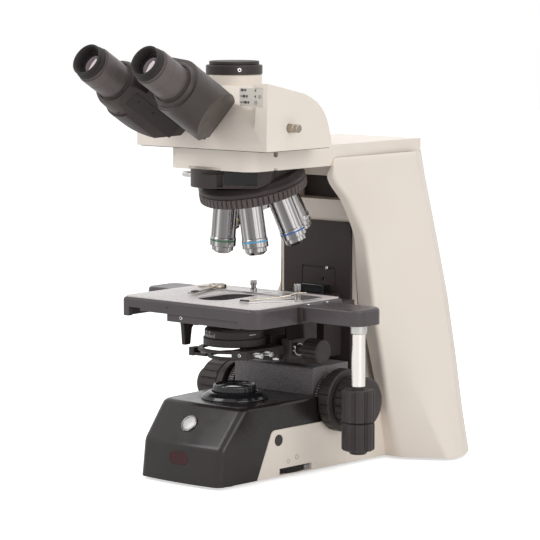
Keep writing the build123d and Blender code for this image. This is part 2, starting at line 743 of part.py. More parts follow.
OBJECTIVE_ANGLES = {"4x": 212, "10x": 272, "20x": -28, "40x": 32, "60x": 92, "100x": 152}
WORKING_DISTANCE = {"4x": 28.0, "10x": 14.0, "20x": 2.1, "40x": 1.6, "60x": 1.4, "100x": 1.2}


def nosepiece_mount():
    wide = MOUNT_R - 3
    body = rod_z(0, 0, MOUNT_R, MOUNT_LOW_Z, ARM_LOW_Z)
    body += box(-wide, wide, 0, MOUNT_REAR_Y, MOUNT_LOW_Z, ARM_LOW_Z)
    body -= turret_rod(THROUGH, TURRET_TOP - GAP, TURRET_TOP + THROUGH)
    body -= Rot(0, 0, FACET_TURN) * box(-26, 60, -60, -FACET_DEPTH, MOUNT_LOW_Z - 5, ARM_LOW_Z + 5)
    stud = turret_rod(STUD_R, TURRET_TOP - 4, GRIP_END - 2)
    body += stud & box(-MOUNT_R, MOUNT_R, -MOUNT_R, 2 * MOUNT_R, 0, ARM_LOW_Z)
    body -= box(-THROUGH, THROUGH, -SLIDER_HALF - GAP, SLIDER_HALF + GAP,
                SLIDER_LOW_Z - GAP, SLIDER_LOW_Z + SLIDER_T + GAP)
    return body - rod_z(0, 0, THREAD_R, ARM_LOW_Z - 8, ARM_LOW_Z + 1)


def analyser_slider():
    high = SLIDER_LOW_Z + SLIDER_T
    plate = box(SLIDER_LEFT_X, SLIDER_RIGHT_X, -SLIDER_HALF, SLIDER_HALF, SLIDER_LOW_Z, high)
    for x in (0.0, -26.0):
        plate -= rod_z(x, 0, SLIDER_HALF - 2.5, SLIDER_LOW_Z - 1, high + 1)
    z = (SLIDER_LOW_Z + high) / 2
    return plate + rod_x(SLIDER_ROD_Y, z, SLIDER_ROD_R, SLIDER_ROD_END_X, SLIDER_LEFT_X)


def turret():
    lift = tan(radians(TURRET_TILT))
    seat_r = OBJECTIVE_SEAT * sin(radians(TURRET_TILT))
    seat_d = OBJECTIVE_SEAT * cos(radians(TURRET_TILT))
    inner = GRIP_R - GRIP_WALL
    bore = STUD_R + RUN
    points = [(bore, TURRET_TOP), (TURRET_TOP_R, TURRET_TOP), (TURRET_R, TURRET_RIM)]
    points += [(TURRET_R, GRIP_TOP), (GRIP_R, GRIP_TOP), (GRIP_R, GRIP_END), (inner, GRIP_END)]
    points += [(inner, seat_d - (inner - seat_r) * lift), (bore, seat_d + (seat_r - bore) * lift)]
    solid = TURRET * revolve_down(points)
    for angle in OBJECTIVE_ANGLES.values():
        hole = Pos(0, 0, -(TURRET_TOP + GRIP_END) / 2) * Cylinder(THREAD_R + SEAT, 60)
        solid -= objective_place(angle) * hole
    return solid


def objective(name):
    seat = OBJECTIVE_SEAT
    tip = seat + OBJECTIVE_DROP + PARFOCAL - WORKING_DISTANCE[name]
    length = tip - seat
    nose = min(9.0, length / 4)
    band = tip - nose
    wide = band - min(14.0, length / 3)
    points = [(0, seat - THREAD_L), (THREAD_R, seat - THREAD_L), (THREAD_R, seat), (BARREL_R, seat)]
    points += [(BARREL_R, wide), (BAND_R, wide + 1), (BAND_R, band), (NOSE_R, band)]
    points += [(NOSE_R, tip - 2.5), (NOSE_R - 3.5, tip), (0, tip)]
    return objective_place(OBJECTIVE_ANGLES[name]) * revolve_down(points)


# Stage

DECK_LOW_Z = STAGE_TOP_Z - STAGE_DECK


def aperture(z0, z1, grow):
    """Opening in the stage for the condenser, longer than it is wide."""
    slot = SlotOverall(APERTURE_L + 2 * grow, 2 * (APERTURE_R + grow), rotation=90)
    return Pos(0, APERTURE_Y, z0) * extrude(slot, z1 - z0)


def stage_body():
    deck = box(-STAGE_HALF, STAGE_HALF, STAGE_FRONT_Y, STAGE_REAR_Y, APRON_Z, STAGE_TOP_Z)
    front = vertical_edges(deck).group_by(Axis.Y)[0].sort_by(Axis.X)
    deck = fillet(front[0], STAGE_LEFT_CORNER)
    deck = fillet(vertical_edges(deck).group_by(Axis.Y)[0].sort_by(Axis.X)[-1], STAGE_CORNER)
    inner = STAGE_HALF - APRON_WALL
    room_front = STAGE_FRONT_Y + APRON_WALL
    deck -= box(-inner, inner, room_front, STAGE_REAR_Y + 1, APRON_Z - 1, DECK_LOW_Z)
    leg = inner - LEG_L - 6
    deck -= box(-leg, leg, STAGE_FRONT_Y - 1, room_front + 1, APRON_Z - 1, SKIRT_Z)
    deck -= box(-inner + 4, -leg + 1, STAGE_FRONT_Y - 1, room_front + 1, APRON_Z - 1, SKIRT_Z + 3)
    left = box(BEAM_LEFT_X, -STAGE_HALF + 1, BEAM_LEFT_FRONT_Y, BEAM_REAR_Y, BEAM_LOW_Z, STAGE_TOP_Z)
    left = fillet(vertical_edges(left).group_by(Axis.X)[0], WING_CORNER)
    right = box(STAGE_HALF - 1, WING_X, BEAM_FRONT_Y, WING_REAR_Y, BEAM_LOW_Z, STAGE_TOP_Z)
    right = fillet(vertical_edges(right).group_by(Axis.X)[-1], WING_CORNER)
    right -= box(STAGE_HALF + 4, WING_X - 4, BEAM_FRONT_Y + 4, WING_REAR_Y - 4,
                 BEAM_LOW_Z + 3, DECK_LOW_Z)
    solid = deck + left + right
    solid -= rod_z(PILLAR_X, PILLAR_Y, X_SHAFT_R + 2 * RUN + 1.5, BEAM_LOW_Z - 1, BEAM_LOW_Z + 4)
    return solid - aperture(APRON_Z - 1, STAGE_TOP_Z + 1, 0)


def stage_surface():
    edge = STAGE_HALF - SURFACE_INSET
    plate = box(-edge, edge, STAGE_FRONT_Y + SURFACE_INSET, STAGE_REAR_Y - SURFACE_INSET,
                STAGE_TOP_Z, STAGE_TOP_Z + SURFACE_T)
    front = vertical_edges(plate).group_by(Axis.Y)[0].sort_by(Axis.X)
    plate = fillet(front[-1], STAGE_CORNER - SURFACE_INSET)
    return plate - aperture(STAGE_TOP_Z - 1, STAGE_TOP_Z + 5, -1.5)


SURFACE_Z = STAGE_TOP_Z + SURFACE_T


def xy_pillar():
    collar = rod_z(PILLAR_X, PILLAR_Y, PILLAR_COLLAR_R, BEAM_LOW_Z - 10, BEAM_LOW_Z)
    tube = rod_z(PILLAR_X, PILLAR_Y, PILLAR_R, X_KNOB_TOP_Z + 3, BEAM_LOW_Z)
    return collar + tube - rod_z(PILLAR_X, PILLAR_Y, X_SHAFT_R + RUN, 0, 300)


def fluted(r, z0, z1, count=8):
    """A round knob with shallow grip flutes."""
    knob = rod_z(PILLAR_X, PILLAR_Y, r, z0, z1)
    for k in range(count):
        turn = 2 * pi * k / count
        knob -= rod_z(PILLAR_X + (r + 1.0) * cos(turn), PILLAR_Y + (r + 1.0) * sin(turn), 2.2, z0 - 1, z1 + 1)
    return knob


def x_knob():
    neck = rod_z(PILLAR_X, PILLAR_Y, PILLAR_R - 1, X_KNOB_TOP_Z, X_KNOB_TOP_Z + 3 - GAP)
    knob = fluted(KNOB_R, KNOB_SPLIT_Z + GAP, X_KNOB_TOP_Z) + neck
    return knob - rod_z(PILLAR_X, PILLAR_Y, X_SHAFT_R + RUN, 0, 300)


def y_knob():
    knob = fluted(KNOB_R, Y_KNOB_LOW_Z, KNOB_SPLIT_Z - GAP)
    knob += rod_z(PILLAR_X, PILLAR_Y, KNOB_TIP_R, KNOB_TIP_Z, Y_KNOB_LOW_Z)
    return knob + rod_z(PILLAR_X, PILLAR_Y, X_SHAFT_R, Y_KNOB_LOW_Z, BEAM_LOW_Z + 6)


def post(x, y, h):
    z = SURFACE_Z + GAP + HOLDER_T
    stem = rod_z(x, y, POST_R * 0.75, z, z + h)
    low = rod_z(x, y, POST_R, z, z + h * 0.3)
    high = rod_z(x, y, POST_R, z + h * 0.55, z + h)
    return stem + low + high


def slide_holder():
    z0 = SURFACE_Z + GAP
    z1 = z0 + HOLDER_T
    half = HOLDER_BAR_W / 2
    bar = box(HOLDER_LEFT_X, HOLDER_RIGHT_X, HOLDER_BAR_Y - half, HOLDER_BAR_Y + half, z0, z1)
    bar += box(POST_B_X - 7, HOLDER_RIGHT_X, POST_B_Y - 6, HOLDER_BAR_Y, z0, z1)
    finger = plan([(75, HOLDER_BAR_Y - half + 1), (81, HOLDER_BAR_Y - half + 1), (81, 3), (55, -41), (43.5, -43.5),
                   (43, -39.5), (51, -37), (75, 8)], z0, z1)
    solid = bar + finger
    solid += post(POST_A_X, HOLDER_BAR_Y, POST_A_H)
    solid += post(POST_B_X, POST_B_Y, POST_B_H)
    solid += rod_z(CLIP_PIVOT_X, HOLDER_BAR_Y, CLIP_SHAFT_R, z1 - 1, z1 + 3.4)
    return solid


def slide_clip():
    z0 = SURFACE_Z + 2 * GAP + HOLDER_T
    disc = rod_z(CLIP_PIVOT_X, HOLDER_BAR_Y, CLIP_PIVOT_R, z0, z0 + CLIP_T)
    arm_bar = plan([(CLIP_PIVOT_X - 5, HOLDER_BAR_Y - 4), (CLIP_PIVOT_X + 3, HOLDER_BAR_Y - 4),
                    (CLIP_PIVOT_X + 12, -8), (CLIP_PIVOT_X + 20, -30), (CLIP_PIVOT_X + 14, -33),
                    (CLIP_PIVOT_X + 7, -10)], z0, z0 + CLIP_T)
    return disc + arm_bar - rod_z(CLIP_PIVOT_X, HOLDER_BAR_Y, CLIP_SHAFT_R + RUN, z0 - 1, z0 + 5)


# Stage carrier and condenser

LOWER_TOP_Z = DECK_LOW_Z - GAP
LOWER_LOW_Z = LOWER_TOP_Z - LOWER_T
CARRIER_REAR_Y = COLUMN_FRONT_Y - PANEL_T - GAP


def stage_carrier():
    plate = box(-LOWER_HALF, LOWER_HALF, LOWER_FRONT_Y, CARRIER_FRONT_Y + 1, LOWER_LOW_Z, LOWER_TOP_Z)
    plate -= aperture(LOWER_LOW_Z - 1, LOWER_TOP_Z + 1, 12)
    back = box(-CARRIER_HALF, CARRIER_HALF, CARRIER_FRONT_Y, CARRIER_REAR_Y, CARRIER_LOW_Z, LOWER_TOP_Z)
    rail = RAIL_HALF + RUN
    rail_front = COLUMN_FRONT_Y - PANEL_T - RAIL_T - RUN
    back -= box(-rail, rail, rail_front, CARRIER_REAR_Y + 1, CARRIER_LOW_Z - 1, LOWER_TOP_Z + 1)
    guide = box(GUIDE_LEFT_X, GUIDE_RIGHT_X, GUIDE_FRONT_Y, GUIDE_REAR_Y, GUIDE_LOW_Z, LOWER_LOW_Z + 1)
    ear = box(GUIDE_RIGHT_X - 14, GUIDE_RIGHT_X, CONDENSER_KNOB_Y - 9, GUIDE_FRONT_Y + 1,
              CONDENSER_KNOB_Z - 10, CONDENSER_KNOB_Z + 10)
    web = box(-14, 14, GUIDE_REAR_Y - 1, CARRIER_FRONT_Y + 1, CARRIER_LOW_Z + 10, LOWER_LOW_Z + 1)
    solid = plate + back + guide + ear + web
    return solid - rod_x(CONDENSER_KNOB_Y, CONDENSER_KNOB_Z, CONDENSER_SHAFT_R + RUN, 0, THROUGH)


CONDENSER_SHAFT_R = 4.0


def condenser_knob():
    end = CONDENSER_KNOB_X + CONDENSER_KNOB_L
    knob = rod_x(CONDENSER_KNOB_Y, CONDENSER_KNOB_Z, CONDENSER_KNOB_R, CONDENSER_KNOB_X, end)
    collar = rod_x(CONDENSER_KNOB_Y, CONDENSER_KNOB_Z, 7.0, GUIDE_RIGHT_X + GAP, GUIDE_RIGHT_X + 4)
    shaft = rod_x(CONDENSER_KNOB_Y, CONDENSER_KNOB_Z, CONDENSER_SHAFT_R, GUIDE_RIGHT_X - 12, CONDENSER_KNOB_X)
    return knob + collar + shaft


def condenser_carrier():
    z0 = HOLDER_RING_LOW_Z
    z1 = z0 + HOLDER_RING_T
    ring = rod_z(0, 0, HOLDER_RING_R, z0, z1)
    arm_right = box(22, 42, -32, CONDENSER_KNOB_Y - 10, z0, z1)
    slide = box(-20, 24, 30, GUIDE_FRONT_Y - RUN, GUIDE_LOW_Z + 3, z1 + 8)
    solid = ring + arm_right + slide
    solid -= rod_z(0, 0, CONDENSER_BARREL_R + SEAT, 0, THROUGH)
    solid -= rod_z(0, 0, IRIS_R + GAP, z1, THROUGH)
    for y in CENTRING_Y:
        solid -= rod_x(y, z0 + HOLDER_RING_T / 2, CENTRING_R * 0.5 + SEAT, 0, THROUGH)
    solid -= rod_z(FILTER_PIN_X, FILTER_PIN_Y, FILTER_PIN_R + RUN, 0, z0 + 5)
    return solid


CENTRING_Y = (-20.0, -4.0)
FILTER_PIN_R = 2.5


def centring_screws():
    z = HOLDER_RING_LOW_Z + HOLDER_RING_T / 2
    screws = []
    for y in CENTRING_Y:
        reach = sqrt(CONDENSER_BARREL_R ** 2 - (abs(y) - CENTRING_R / 2) ** 2) + GAP
        stem = rod_x(y, z, CENTRING_R * 0.5, reach, 43)
        screws.append(stem + rod_x(y, z, CENTRING_R, 42 + GAP, 42 + CENTRING_L))
    return screws


def condenser_body():
    top = rod_z(0, 0, CONDENSER_R, CONDENSER_RIM_Z, CONDENSER_TOP_Z)
    core = rod_z(0, 0, CONDENSER_BARREL_R, BARREL_LOW_Z, CONDENSER_RIM_Z)
    solid = top + core
    solid -= rod_z(0, 0, CONDENSER_BARREL_R - 6, 0, CONDENSER_RIM_Z)
    solid -= rod_z(0, 0, TOP_LENS_R + 1.5, CONDENSER_RIM_Z - 1, CONDENSER_TOP_Z + 1)
    z = CONDENSER_TOP_Z + LEVER_SHAFT_R + GAP
    wide = LEVER_SHAFT_R + 2
    solid += box(4 - CONDENSER_R, 12 - CONDENSER_R, LEVER_SHAFT_Y - wide, LEVER_SHAFT_Y + wide,
                 CONDENSER_TOP_Z - 1, z + wide)
    return solid - rod_x(LEVER_SHAFT_Y, z, LEVER_SHAFT_R + RUN, -THROUGH, 0)


def condenser_lens():
    return rod_z(0, 0, CONDENSER_BARREL_R - 6 - SEAT, CONDENSER_RIM_Z - 9, CONDENSER_RIM_Z - 2)


def condenser_iris_ring():
    ring = rod_z(0, 0, IRIS_R, IRIS_LOW_Z, CONDENSER_RIM_Z - GAP)
    return ring - rod_z(0, 0, CONDENSER_BARREL_R + RUN, 0, THROUGH)


def swing_lens():
    z = CONDENSER_TOP_Z + LEVER_SHAFT_R + GAP
    lens = rod_z(0, 0, TOP_LENS_R, CONDENSER_TOP_Z + GAP, CONDENSER_TOP_Z + TOP_LENS_H)
    shaft = rod_x(LEVER_SHAFT_Y, z, LEVER_SHAFT_R, LEVER_X, -TOP_LENS_R + 4)
    grip = box(LEVER_X - 5, LEVER_X, LEVER_SHAFT_Y - 6, LEVER_SHAFT_Y + 6, z - LEVER_L, z + 4)
    grip = chamfer(grip.edges().filter_by(Axis.X).group_by(Axis.Z)[0], 3.5)
    return lens + shaft + grip


def filter_holder():
    z1 = HOLDER_RING_LOW_Z - GAP
    z0 = z1 - FILTER_T
    ring = rod_z(0, 0, FILTER_R + 4, z0, z1)
    lug = plan([(0, 18), (20, 0), (FILTER_PIN_X + 5, FILTER_PIN_Y - 4), (FILTER_PIN_X, FILTER_PIN_Y + 5)], z0, z1)
    tab = box(-46, -24, -18, -10, z0, z1)
    solid = ring + lug + tab
    solid -= rod_z(0, 0, FILTER_R - 2, z0 - 1, z1 + 1)
    return solid + rod_z(FILTER_PIN_X, FILTER_PIN_Y, FILTER_PIN_R, z0, z1 + 4)


# Head

EYE = Plane(origin=(0, EYE_Y, EYE_Z), x_dir=(1, 0, 0),
            z_dir=(0, -cos(radians(EYE_TILT)), sin(radians(EYE_TILT)))).location
SWING = degrees(atan2(EYE_HALF, PIVOT_RISE))
ARM_LENGTH = sqrt(EYE_HALF ** 2 + PIVOT_RISE ** 2)
CLOSING = SWING - degrees(atan2(CLOSED_HALF, sqrt(ARM_LENGTH ** 2 - CLOSED_HALF ** 2)))
RECESS_END = TUBE_END + 3.0


def eye_rod(u, v, r, near, far):
    """A round bar parallel to the eyepieces, between two depths below the eyecups."""
    return EYE * Pos(u, v, -(near + far) / 2) * Cylinder(r, far - near)


def head_housing():
    front = HEAD_FRONT_Y
    points = [(front, HEAD_LOW_Z), (front + HEAD_LEAN, HEAD_TOP_Z), (HEAD_SHOULDER_Y, HEAD_SHOULDER_Z)]
    steps = 4
    for k in range(1, steps + 1):
        turn = radians(90 * k / steps)
        y = HEAD_SHOULDER_Y + (HEAD_HIP_Y - HEAD_SHOULDER_Y) * sin(turn)
        z = HEAD_HIP_Z + (HEAD_SHOULDER_Z - HEAD_HIP_Z) * cos(turn)
        points.append((y, z))
    points.append((HEAD_BACK_Y, HEAD_LOW_Z))
    body = side_profile(points, HEAD_HALF)
    body = chamfer(body.edges().filter_by(Plane.YZ).group_by(Axis.X)[0], HEAD_EDGE / 2)
    body = chamfer(body.edges().filter_by(Plane.YZ).group_by(Axis.X)[-1], HEAD_EDGE / 2)
    body += rod_z(0, 0, PORT_TUBE_R, HEAD_SHOULDER_Z - 20, PORT_LOW_Z)
    wide = 46.0
    far_r = wide + (RECESS_END - 60) * 0.56
    cone = Cone(wide, far_r, RECESS_END - 60)
    body -= EYE * Pos(0, PIVOT_RISE, -(RECESS_END + 60) / 2) * cone
    body += eye_rod(0, PIVOT_RISE, HUB_R - GAP, HUB_BOSS, RECESS_END + 6)
    body += eye_rod(0, PIVOT_RISE, PIVOT_R, HUB_RIGHT[0] - 2, HUB_BOSS + 1)
    body += eye_rod(0, PIVOT_RISE, PIVOT_CAP_R, HUB_RIGHT[0] - 5, HUB_RIGHT[0] - GAP)
    body += rod_z(0, 0, DOVETAIL_R, ARM_HIGH_Z - DOVETAIL_H, HEAD_LOW_Z + 1)
    body -= rod_z(0, 0, PORT_BORE_R - 6, 0, HEAD_LOW_Z + 20)
    body -= rod_x(SPLITTER_Y, SPLITTER_Z, SPLITTER_R + RUN, HEAD_HALF - SPLITTER_DEPTH, THROUGH)
    return body - rod_z(0, 0, PORT_BORE_R, PORT_LOW_Z - 10, PORT_LOW_Z + 1)


def photo_port_ring():
    top = PORT_LOW_Z + PORT_RING_H
    ring = rod_z(0, 0, PORT_RING_R, PORT_LOW_Z, top)
    return ring - rod_z(0, 0, PORT_BORE_R, 0, THROUGH + top)


def photo_port_cap():
    top = PORT_LOW_Z + PORT_RING_H
    disc = rod_z(0, 0, CAP_R, top, top + CAP_T)
    plug = rod_z(0, 0, PORT_BORE_R - RUN, top - 7, top)
    return disc + plug - rod_z(0, 0, PORT_BORE_R - 3, 0, top)


def splitter_rod():
    return rod_x(SPLITTER_Y, SPLITTER_Z, SPLITTER_R, HEAD_HALF - SPLITTER_DEPTH + 2, HEAD_HALF + SPLITTER_PROUD)


def eyepiece_tube(side):
    """One half of the binocular: tube, prism housing and its arm to the pivot."""
    near, far = HUB_RIGHT if side > 0 else HUB_LEFT
    x = side * EYE_HALF
    eye_circle = Pos(x, 0) * Circle(TUBE_END_R - 0.5)
    hub_circle = Pos(0, PIVOT_RISE) * Circle(HUB_R)
    outline = make_hull((eye_circle + hub_circle).edges())
    web = EYE * Pos(0, 0, -TUBE_END) * extrude(outline, TUBE_END - near)
    cone = EYE * Pos(x, 0, -(TUBE_RING_END + TUBE_END) / 2) * Cone(TUBE_END_R, TUBE_RING_R, TUBE_END - TUBE_RING_END)
    ring = EYE * Pos(x, 0, -(TUBE_TOP + TUBE_RING_END) / 2) * Cone(TUBE_RING_R, TUBE_TOP_R, TUBE_RING_END - TUBE_TOP)
    body = web + cone + ring
    flat = Pos(x, 0) * Rot(0, 0, 180 + side * CLOSING if side > 0 else side * CLOSING)
    body -= EYE * flat * Pos(INNER_FLAT + 50, 0, -TUBE_END) * Box(100, 200, 300)
    body -= eye_rod(0, PIVOT_RISE, HUB_R + 2 * GAP, TUBE_TOP - 5, near - GAP)
    body -= eye_rod(0, PIVOT_RISE, HUB_R + 2 * GAP, far + GAP, TUBE_END + 5)
    body += eye_rod(0, PIVOT_RISE, HUB_R, near, far)
    body -= eye_rod(0, PIVOT_RISE, PIVOT_R + RUN, 0, TUBE_END + 5)
    body -= bevel(side)
    return body - eye_rod(x, 0, EYE_SLEEVE_R + RUN, 0, EYE_SLEEVE_END + 3)


def bevel(side):
    """Slanting cut that frees the lower end of a prism housing from the head."""
    lean = degrees(atan2(-18.1 - 30.2, -22.5 + 2.3)) - 180
    outward = lean - 90
    turn = outward if side > 0 else 180 - outward
    start = Pos(side * EYE_HALF, 0, -TUBE_END) * Rot(0, 0, turn) * Pos(-BEVEL_CHORD, 0, 0)
    return EYE * start * Rot(0, BEVEL_ANGLE, 0) * Pos(100, 0, 0) * Box(200, 200, 400)


def eyepiece(side):
    """Eyepiece body and sleeve, turned about its own axis."""
    x = side * EYE_HALF
    start = EYECUP_L + GAP
    points = [(0, start + 3), (EYE_LENS_R, start + 3), (EYE_LENS_R, start), (EYE_GROOVE_R, start)]
    points += [(EYE_GROOVE_R, start + 1.5), (EYE_BODY_R, start + 2.5), (EYE_BODY_R, TUBE_TOP - 3)]
    points += [(EYE_SLEEVE_R, TUBE_TOP - GAP), (EYE_SLEEVE_R, EYE_SLEEVE_END), (0, EYE_SLEEVE_END)]
    return EYE * Pos(x, 0, 0) * revolve_down(points)


def eyecup(side):
    """Rotating dioptre top with its rubber rim."""
    x = side * EYE_HALF
    points = [(EYE_LENS_R + 0.5, EYECUP_L), (EYE_LENS_R + 0.5, 4.0), (EYECUP_R - 3, 0)]
    points += [(EYECUP_R - 1, 0), (EYECUP_R, 1.0), (EYE_GROOVE_R + 0.8, EYECUP_L)]
    return EYE * Pos(x, 0, 0) * revolve_down(points)


# Assembly

EYECUP_FRONT_Y = EYE_Y - EYECUP_R * sin(radians(EYE_TILT))
CENTRE_X = (WING_X - FOOT_FLARE_HALF) / 2
CENTRE_Y = (REAR_Y + EYECUP_FRONT_Y) / 2


def save(name, shape):
    """Write one sub-part, moved into the frame of the whole instrument."""
    solids = shape if isinstance(shape, list) else [shape]
    moved = [Pos(-CENTRE_X, -CENTRE_Y, 0) * solid for solid in solids]
    parts[name] = moved[0] if len(moved) == 1 else Compound(children=[Compound(s.wrapped) for s in moved])
    export_step(parts[name], f"parts/{name}.step")


save("base_casting", base_casting())
save("base_housing", base_housing())
save("rubber_feet", rubber_feet())
save("sensor_window", sensor_window())
save("column", column())
save("column_panel", column_panel())
save("arm", arm())
save("side_cover_right", side_cover(1))
save("side_cover_left", side_cover(-1))
save("rear_cover", rear_cover())
save("power_inlet", power_inlet())
save("power_switch", power_switch())
save("focus_housing", focus_housing())
save("tension_ring", tension_ring())
save("scale_ring", scale_ring())
save("coarse_drive", coarse_drive())
save("coarse_knob_right", coarse_knob_right())
save("fine_drive", fine_drive())
save("fine_knob_right", fine_knob_right())
save("field_lens_collar", field_lens_collar())
save("field_lens", field_lens())
save("field_diaphragm_ring", field_diaphragm_ring())
save("led_module", led_module())
save("light_wheel", light_wheel())
save("eco_button", eco_button())
save("nosepiece_mount", nosepiece_mount())
save("analyser_slider", analyser_slider())
save("turret", turret())
for power in OBJECTIVE_ANGLES:
    save(f"objective_{power}", objective(power))
save("stage_body", stage_body())
save("stage_surface", stage_surface())
save("xy_pillar", xy_pillar())
save("x_knob", x_knob())
save("y_knob", y_knob())
save("slide_holder", slide_holder())
save("slide_clip", slide_clip())
save("stage_carrier", stage_carrier())
save("condenser_knob", condenser_knob())
save("condenser_carrier", condenser_carrier())
save("centring_screws", centring_screws())
save("condenser_body", condenser_body())
save("condenser_lens", condenser_lens())
save("condenser_iris_ring", condenser_iris_ring())
save("swing_lens", swing_lens())
save("filter_holder", filter_holder())
save("head_housing", head_housing())
save("photo_port_ring", photo_port_ring())
save("photo_port_cap", photo_port_cap())
save("splitter_rod", splitter_rod())
for label, side in (("right", 1), ("left", -1)):
    save(f"eyepiece_tube_{label}", eyepiece_tube(side))
    save(f"eyepiece_{label}", eyepiece(side))
    save(f"eyecup_{label}", eyecup(side))

print("nodes", len(parts))
print("centre", round(CENTRE_X, 3), round(CENTRE_Y, 3))
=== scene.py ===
from math import atan2, cos, degrees, hypot, pi, radians, sin, sqrt, tan

import bmesh
import bpy
from mathutils import Matrix, Vector


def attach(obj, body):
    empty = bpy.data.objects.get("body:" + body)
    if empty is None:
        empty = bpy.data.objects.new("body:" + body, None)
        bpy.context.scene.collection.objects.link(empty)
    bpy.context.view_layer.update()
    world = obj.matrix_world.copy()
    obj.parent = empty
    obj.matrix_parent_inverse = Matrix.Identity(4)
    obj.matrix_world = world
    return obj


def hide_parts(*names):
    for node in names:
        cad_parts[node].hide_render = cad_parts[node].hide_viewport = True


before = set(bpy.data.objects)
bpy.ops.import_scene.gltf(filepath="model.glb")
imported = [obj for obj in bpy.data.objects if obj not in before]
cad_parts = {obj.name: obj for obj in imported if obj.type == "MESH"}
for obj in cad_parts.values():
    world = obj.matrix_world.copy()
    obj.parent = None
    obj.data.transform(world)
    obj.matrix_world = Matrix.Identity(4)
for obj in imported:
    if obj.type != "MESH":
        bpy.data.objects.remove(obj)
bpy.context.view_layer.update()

# The pieces are drawn in millimetres about the foot of the optical axis, as the
# solids are, and moved to the frame of the whole instrument by ORIGIN.
ORIGIN = Vector((15.0, 29.575, 0.0))
MM = 0.001


# Materials

class Look:
    """A material with the few node helpers that every look here needs."""

    def __init__(self, name, colour, rough, metal=0.0, spec=0.5):
        self.material = bpy.data.materials.new(name)
        self.material.use_nodes = True
        self.tree = self.material.node_tree
        self.shader = self.tree.nodes["Principled BSDF"]
        self.shader.inputs["Base Color"].default_value = (*colour, 1)
        self.shader.inputs["Roughness"].default_value = rough
        self.shader.inputs["Metallic"].default_value = metal
        self.shader.inputs["Specular IOR Level"].default_value = spec
        self.colour = colour
        self.rough = rough
        self.place = self.node("ShaderNodeTexCoord").outputs["Object"]

    def node(self, kind, **values):
        node = self.tree.nodes.new(kind)
        for key, value in values.items():
            if key in node.inputs:
                node.inputs[key].default_value = value
            else:
                setattr(node, key, value)
        return node

    def link(self, start, end):
        self.tree.links.new(start, end)

    def noise(self, scale, detail=4.0, stretch=None):
        noise = self.node("ShaderNodeTexNoise", Scale=scale, Detail=detail)
        if stretch:
            mapping = self.node("ShaderNodeMapping", Scale=stretch)
            self.link(self.place, mapping.inputs["Vector"])
            self.link(mapping.outputs["Vector"], noise.inputs["Vector"])
        else:
            self.link(self.place, noise.inputs["Vector"])
        return noise.outputs["Fac"]

    def span(self, source, low, high, start=0.3, end=0.7):
        ramp = self.node("ShaderNodeMapRange")
        self.link(source, ramp.inputs["Value"])
        for key, value in (("From Min", start), ("From Max", end), ("To Min", low), ("To Max", high)):
            ramp.inputs[key].default_value = value
        return ramp.outputs["Result"]

    def vary_rough(self, scale, amount, stretch=None):
        low = max(0.02, self.rough - amount)
        self.link(self.span(self.noise(scale, 5, stretch), low, self.rough + amount),
                  self.shader.inputs["Roughness"])

    def vary_colour(self, scale, other, stretch=None, start=0.35, end=0.65):
        mix = self.node("ShaderNodeMix", data_type="RGBA")
        mix.inputs["A"].default_value = (*self.colour, 1)
        mix.inputs["B"].default_value = (*other, 1)
        for socket in mix.inputs:
            if socket.name == "A" and socket.type == "RGBA":
                socket.default_value = (*self.colour, 1)
            if socket.name == "B" and socket.type == "RGBA":
                socket.default_value = (*other, 1)
        self.link(self.span(self.noise(scale, 4, stretch), 0, 1, start, end), mix.inputs["Factor"])
        colour = [s for s in mix.outputs if s.type == "RGBA"][0]
        self.link(colour, self.shader.inputs["Base Color"])

    def bump(self, source, strength, distance):
        bump = self.node("ShaderNodeBump", Strength=strength, Distance=distance)
        self.link(source, bump.inputs["Height"])
        self.link(bump.outputs["Normal"], self.shader.inputs["Normal"])

    def coat(self, weight, rough):
        self.shader.inputs["Coat Weight"].default_value = weight
        self.shader.inputs["Coat Roughness"].default_value = rough


def paint(name, colour, rough, shade, peel=0.1, spec=0.5):
    """Sprayed enamel: faint shade change, orange peel and slightly uneven gloss."""
    look = Look(name, colour, rough, spec=spec)
    look.vary_colour(14, shade)
    look.vary_rough(45, 0.05)
    look.bump(look.noise(900, 3), peel, 0.0002)
    return look


def grained(name, colour, rough, grain, depth, shade=None, spec=0.5):
    """Moulded or wrinkle-painted surface with an even fine grain."""
    look = Look(name, colour, rough, spec=spec)
    cells = look.node("ShaderNodeTexVoronoi", Scale=grain, feature="SMOOTH_F1")
    look.link(look.place, cells.inputs["Vector"])
    look.bump(cells.outputs["Distance"], depth, 0.0004)
    look.vary_rough(60, 0.07)
    if shade:
        look.vary_colour(25, shade)
    return look


def turned(name, colour, rough, lines=(1, 1, 60), amount=0.08, bump=0.08):
    """Machined metal with fine tool marks around the turning axis."""
    look = Look(name, colour, rough, metal=1.0)
    look.vary_rough(60, amount, lines)
    look.bump(look.noise(90, 2, lines), bump, 0.0001)
    look.vary_colour(8, tuple(c * 0.9 for c in colour))
    return look


CREAM = paint("cream_enamel", (0.865, 0.785, 0.70), 0.34, (0.85, 0.77, 0.685), 0.05).material
CREAM_PLASTIC = paint("cream_moulding", (0.85, 0.77, 0.685), 0.38, (0.84, 0.755, 0.67), 0.04).material
BLACK_GLOSS = paint("black_gloss", (0.012, 0.012, 0.014), 0.13, (0.016, 0.016, 0.018), 0.02).material
BLACK_SATIN = paint("black_satin", (0.044, 0.035, 0.033), 0.36, (0.054, 0.043, 0.041), 0.1, 0.25).material
PANEL_BLACK = paint("panel_black", (0.044, 0.033, 0.030), 0.42, (0.052, 0.040, 0.036), 0.06, 0.3).material
EYE_BLACK = paint("eyepiece_black", (0.115, 0.095, 0.091), 0.36, (0.13, 0.11, 0.105), 0.08, 0.3).material
BLACK_TUBE = grained("black_tube", (0.055, 0.043, 0.039), 0.36, 2600, 0.25, (0.066, 0.052, 0.047), 0.3).material
SPECKLED = grained("grey_texture", (0.135, 0.122, 0.127), 0.45, 1100, 0.7)
